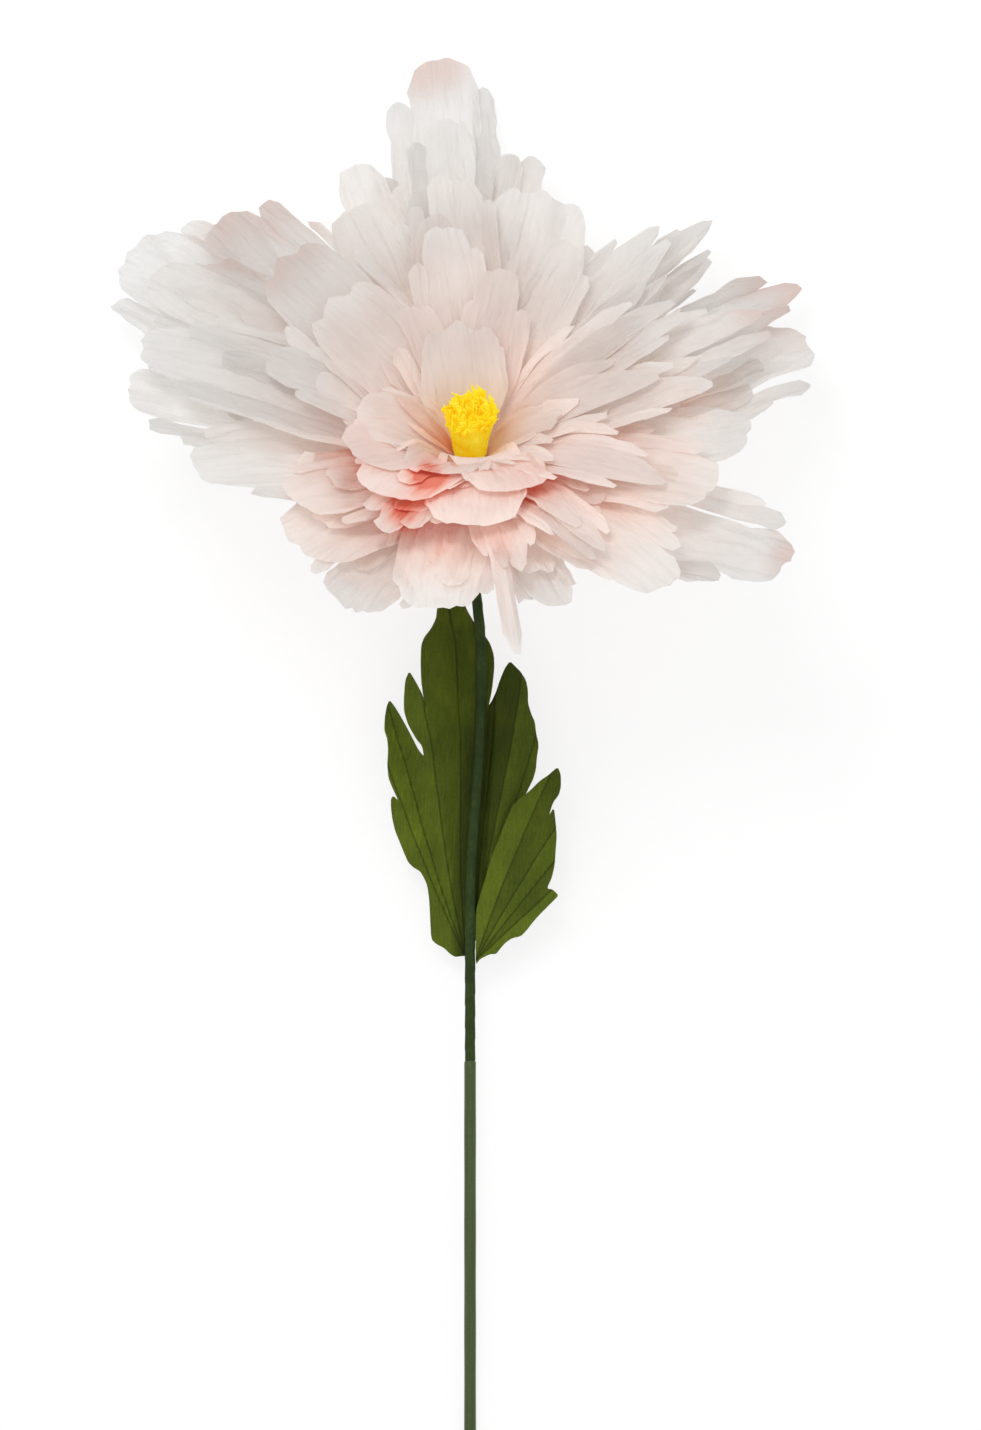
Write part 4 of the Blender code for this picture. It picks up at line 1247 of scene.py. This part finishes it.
def leaf_finish(name, leaf):
    """Green crepe: each facet has its own painted light and shade, and a line of painted shade marks each
    fold.
    """
    paper = Finish(name)
    angle, reach, shadow, _ = paper.marks("fan")
    place = paper.place()
    ribs = paper.streaks(paper.flat(), (90.0, 7.0, 1.0), 3.0)
    cloud = paper.noise(place, 34.0, 4.0)
    grain = paper.noise(place, 620.0, 3.0)
    wander = (cloud - 0.5) * 0.01
    # Painted light and shade: each facet is made lighter or darker, as the light falls on it.
    painted_facet_light = [(0.0, (leaf["painted_facet_light"][0],) * 3)]
    for (line, _), before, after in zip(leaf["folds"][1:-1], leaf["painted_facet_light"], leaf["painted_facet_light"][1:]):
        spot = fan_colour(line)
        painted_facet_light += [(spot - FACET_EDGE, (before,) * 3), (spot + FACET_EDGE, (after,) * 3)]
    facet = paper.node("ShaderNodeSeparateColor", None, {"Color": paper.ramp(angle + wander, painted_facet_light)})
    light = Reading(paper, facet.outputs["Red"])
    # Painted shade: a thin dark line along each fold.
    for line, _ in leaf["folds"][1:-1]:
        off = paper.size(angle + wander - fan_colour(line)) * reach
        light = light * (1.0 - (1.0 - paper.sum("MINIMUM", off * (1.0 / FOLD_SHADE_WIDTH), 1.0)) * FOLD_SHADE_DEPTH)
    light = light * (1.0 - shadow * leaf["shadow"][2])
    colour = paper.ramp(cloud * 0.45 + ribs * 0.30 + grain * 0.25, (
        (0.30, (0.062, 0.094, 0.008)),
        (0.50, (0.104, 0.148, 0.011)),
        (0.70, (0.160, 0.215, 0.016)),
    ))
    colour = paper.shaded(colour, light)
    normal = paper.bump(ribs + grain * 0.3, 0.6, 0.0010)
    paper.dress({"Base Color": colour, "Roughness": 0.82, "Specular IOR Level": 0.2, "Normal": normal})
    paper.thin(colour, 0.14, normal)
    return paper.material


# %% [markdown]
# Each leaf has its outline, its height over the stem's line, the foot that its folds start from, its folds
# as an angle and a slope, the painted light and shade of each facet, and the corner and strength of its
# shade.

# %% Make the leaves
LEAVES = {
    "left_leaf": {
        "node": "leaf_left",
        "outline": LEAF_LEFT,
        "lift": -(WRAP_RADIUS + PAPER_GAP + LEAF_SHEET / 2),
        "tuck": 0.0,
        "rise": -0.06,
        "foot": (-0.003, 0.336),
        "folds": (
            (-45.0, -0.02), (-24.0, 0.03), (-19.5, -0.03), (-11.7, 0.04), (-4.0, -0.03), (12.0, 0.03),
        ),
        "painted_facet_light": (0.96, 1.22, 1.00, 0.90, 0.70),
        "shadow": (-0.014, 0.150, 0.45),
    },
    "back_leaf": {
        "node": "leaf_back",
        "outline": LEAF_BACK,
        "lift": 0.0,
        "tuck": -0.0054,
        "rise": -0.03,
        "foot": (0.004, 0.330),
        "folds": ((-5.0, 0.01), (2.0, -0.02), (7.0, 0.04), (13.0, -0.01), (20.0, 0.02)),
        "painted_facet_light": (0.45, 0.48, 0.80, 0.86),
        "shadow": (0.9, 0.1, 0.0),
    },
    "front_leaf": {
        "node": "leaf_front",
        "outline": LEAF_FRONT,
        "lift": WRAP_RADIUS * 0.45,
        "tuck": 0.0,
        "rise": 0.12,
        "foot": (0.003, 0.338),
        "folds": ((5.0, 0.02), (20.0, -0.02), (30.0, 0.03), (38.0, -0.02), (47.0, 0.03), (60.0, 0.0)),
        "painted_facet_light": (1.04, 0.74, 0.98, 0.78, 1.16),
        "shadow": (0.9, 0.1, 0.0),
    },
}
for name, leaf in LEAVES.items():
    leaf_mesh = make_leaf(name, leaf)
    piece = add_piece(name, leaf_mesh, leaf_finish(name + "_crepe", leaf), [leaf["node"]])
    thicken(piece, LEAF_SHEET)
    print(name, len(leaf_mesh.polygons), "faces")

# %% [markdown]
# The core and the wire stay as the frame has them, because the petals and the tape hide all but a glimpse.
# They still get the finish of their material.

# %% The hidden pieces
def foam_finish():
    foam = Finish("pressed_foam")
    cells = foam.noise(foam.place(), 900.0, 2.0)
    colour = foam.ramp(cells, ((0.3, (0.62, 0.42, 0.34)), (0.7, (0.80, 0.62, 0.54))))
    foam.dress({"Base Color": colour, "Roughness": 0.9, "Normal": foam.bump(cells, 0.6, 0.0006)})
    return foam.material


def wire_finish():
    wire = Finish("drawn_steel")
    drawing = wire.streaks(wire.place(), (900.0, 20.0, 900.0), 2.0)
    colour = wire.ramp(drawing, ((0.3, (0.30,) * 3), (0.7, (0.46,) * 3)))
    wire.dress({"Base Color": colour, "Metallic": 1.0, "Roughness": 0.3 + drawing * 0.2})
    return wire.material


for node, material in (("flower_core", foam_finish()), ("stem_wire", wire_finish())):
    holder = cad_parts[node]
    for socket in holder.material_slots:
        socket.material = material
    print(node, "finished")

# %% [markdown]
# A pale floor, one big soft lamp high on the left and an even sky light the paper at a plain level. The
# flower lies on its back, so the camera looks straight down on it from far away with a long lens, which
# keeps the near petals at their true size. The camera sees the floor nearly white, as a cut-out picture's
# ground is, while the floor still takes the flower's shadow and passes plain light back to it.

# %% Floor, light and camera
PHOTO_WIDE = 981
PHOTO_TALL = 1430
METRES_A_PIXEL = 0.0007
HEAD_PIXEL = (470.0, 480.0)
CAMERA_UP = 20.0
SENSOR = 36.0
LEVEL = 0.10
FLOOR_SIZE = 14.0
FLOOR_DROP = 0.0005
FLOOR_WHITE = 1.08
FLOOR_SHARE = 0.72
SKY = 0.73


def floor_finish():
    floor = Finish("pale_floor")
    path = floor.node("ShaderNodeLightPath").outputs
    seen = floor.sum("MAXIMUM", path["Is Camera Ray"], path["Is Glossy Ray"])
    seen = floor.sum("MAXIMUM", seen, path["Is Transmission Ray"])
    floor.dress({"Base Color": (0.93, 0.93, 0.93, 1.0), "Roughness": 0.9})
    white = floor.node("ShaderNodeEmission", None, {"Color": (1.0, 1.0, 1.0, 1.0), "Strength": FLOOR_WHITE})
    values = {0: seen * FLOOR_SHARE, 1: floor.shader.outputs[0], 2: white.outputs[0]}
    mixed = floor.node("ShaderNodeMixShader", None, values)
    floor.set(floor.output.inputs["Surface"], mixed.outputs[0])
    return floor.material


bpy.ops.mesh.primitive_plane_add(size=FLOOR_SIZE, location=(0.0, 0.0, -FLOOR_DROP))
ground = bpy.context.object
ground.name = "floor"
ground.data.materials.append(floor_finish())

world = bpy.data.worlds.new("studio")
world.use_nodes = True
sky = world.node_tree.nodes["Background"]
sky.inputs["Color"].default_value = (1.0, 1.0, 1.0, 1.0)
sky.inputs["Strength"].default_value = SKY
bpy.context.scene.world = world


def soft_lamp(name, place, size, power):
    lamp = bpy.data.lights.new(name, "AREA")
    lamp.shape = "SQUARE"
    lamp.size = size
    lamp.energy = power
    holder = bpy.data.objects.new(name, lamp)
    holder.location = place
    holder.rotation_euler = (HEAD - Vector(place)).to_track_quat("-Z", "Y").to_euler()
    bpy.context.scene.collection.objects.link(holder)


soft_lamp("key", (-0.6, 1.5, 2.6), 1.0, 24.0)

middle_x = HEAD.x + (PHOTO_WIDE / 2 - HEAD_PIXEL[0]) * METRES_A_PIXEL
middle_y = HEAD.y - (PHOTO_TALL / 2 - HEAD_PIXEL[1]) * METRES_A_PIXEL
lens = bpy.data.cameras.new("camera")
lens.sensor_width = SENSOR
lens.lens = SENSOR * CAMERA_UP / (PHOTO_TALL * METRES_A_PIXEL)
lens.clip_start = 1.0
lens.clip_end = 60.0
camera = bpy.data.objects.new("camera", lens)
camera.location = (middle_x, middle_y, LEVEL + CAMERA_UP)
bpy.context.scene.collection.objects.link(camera)
bpy.context.scene.camera = camera
bpy.context.scene.view_settings.view_transform = "Standard"
print("camera", [round(value, 4) for value in camera.location])
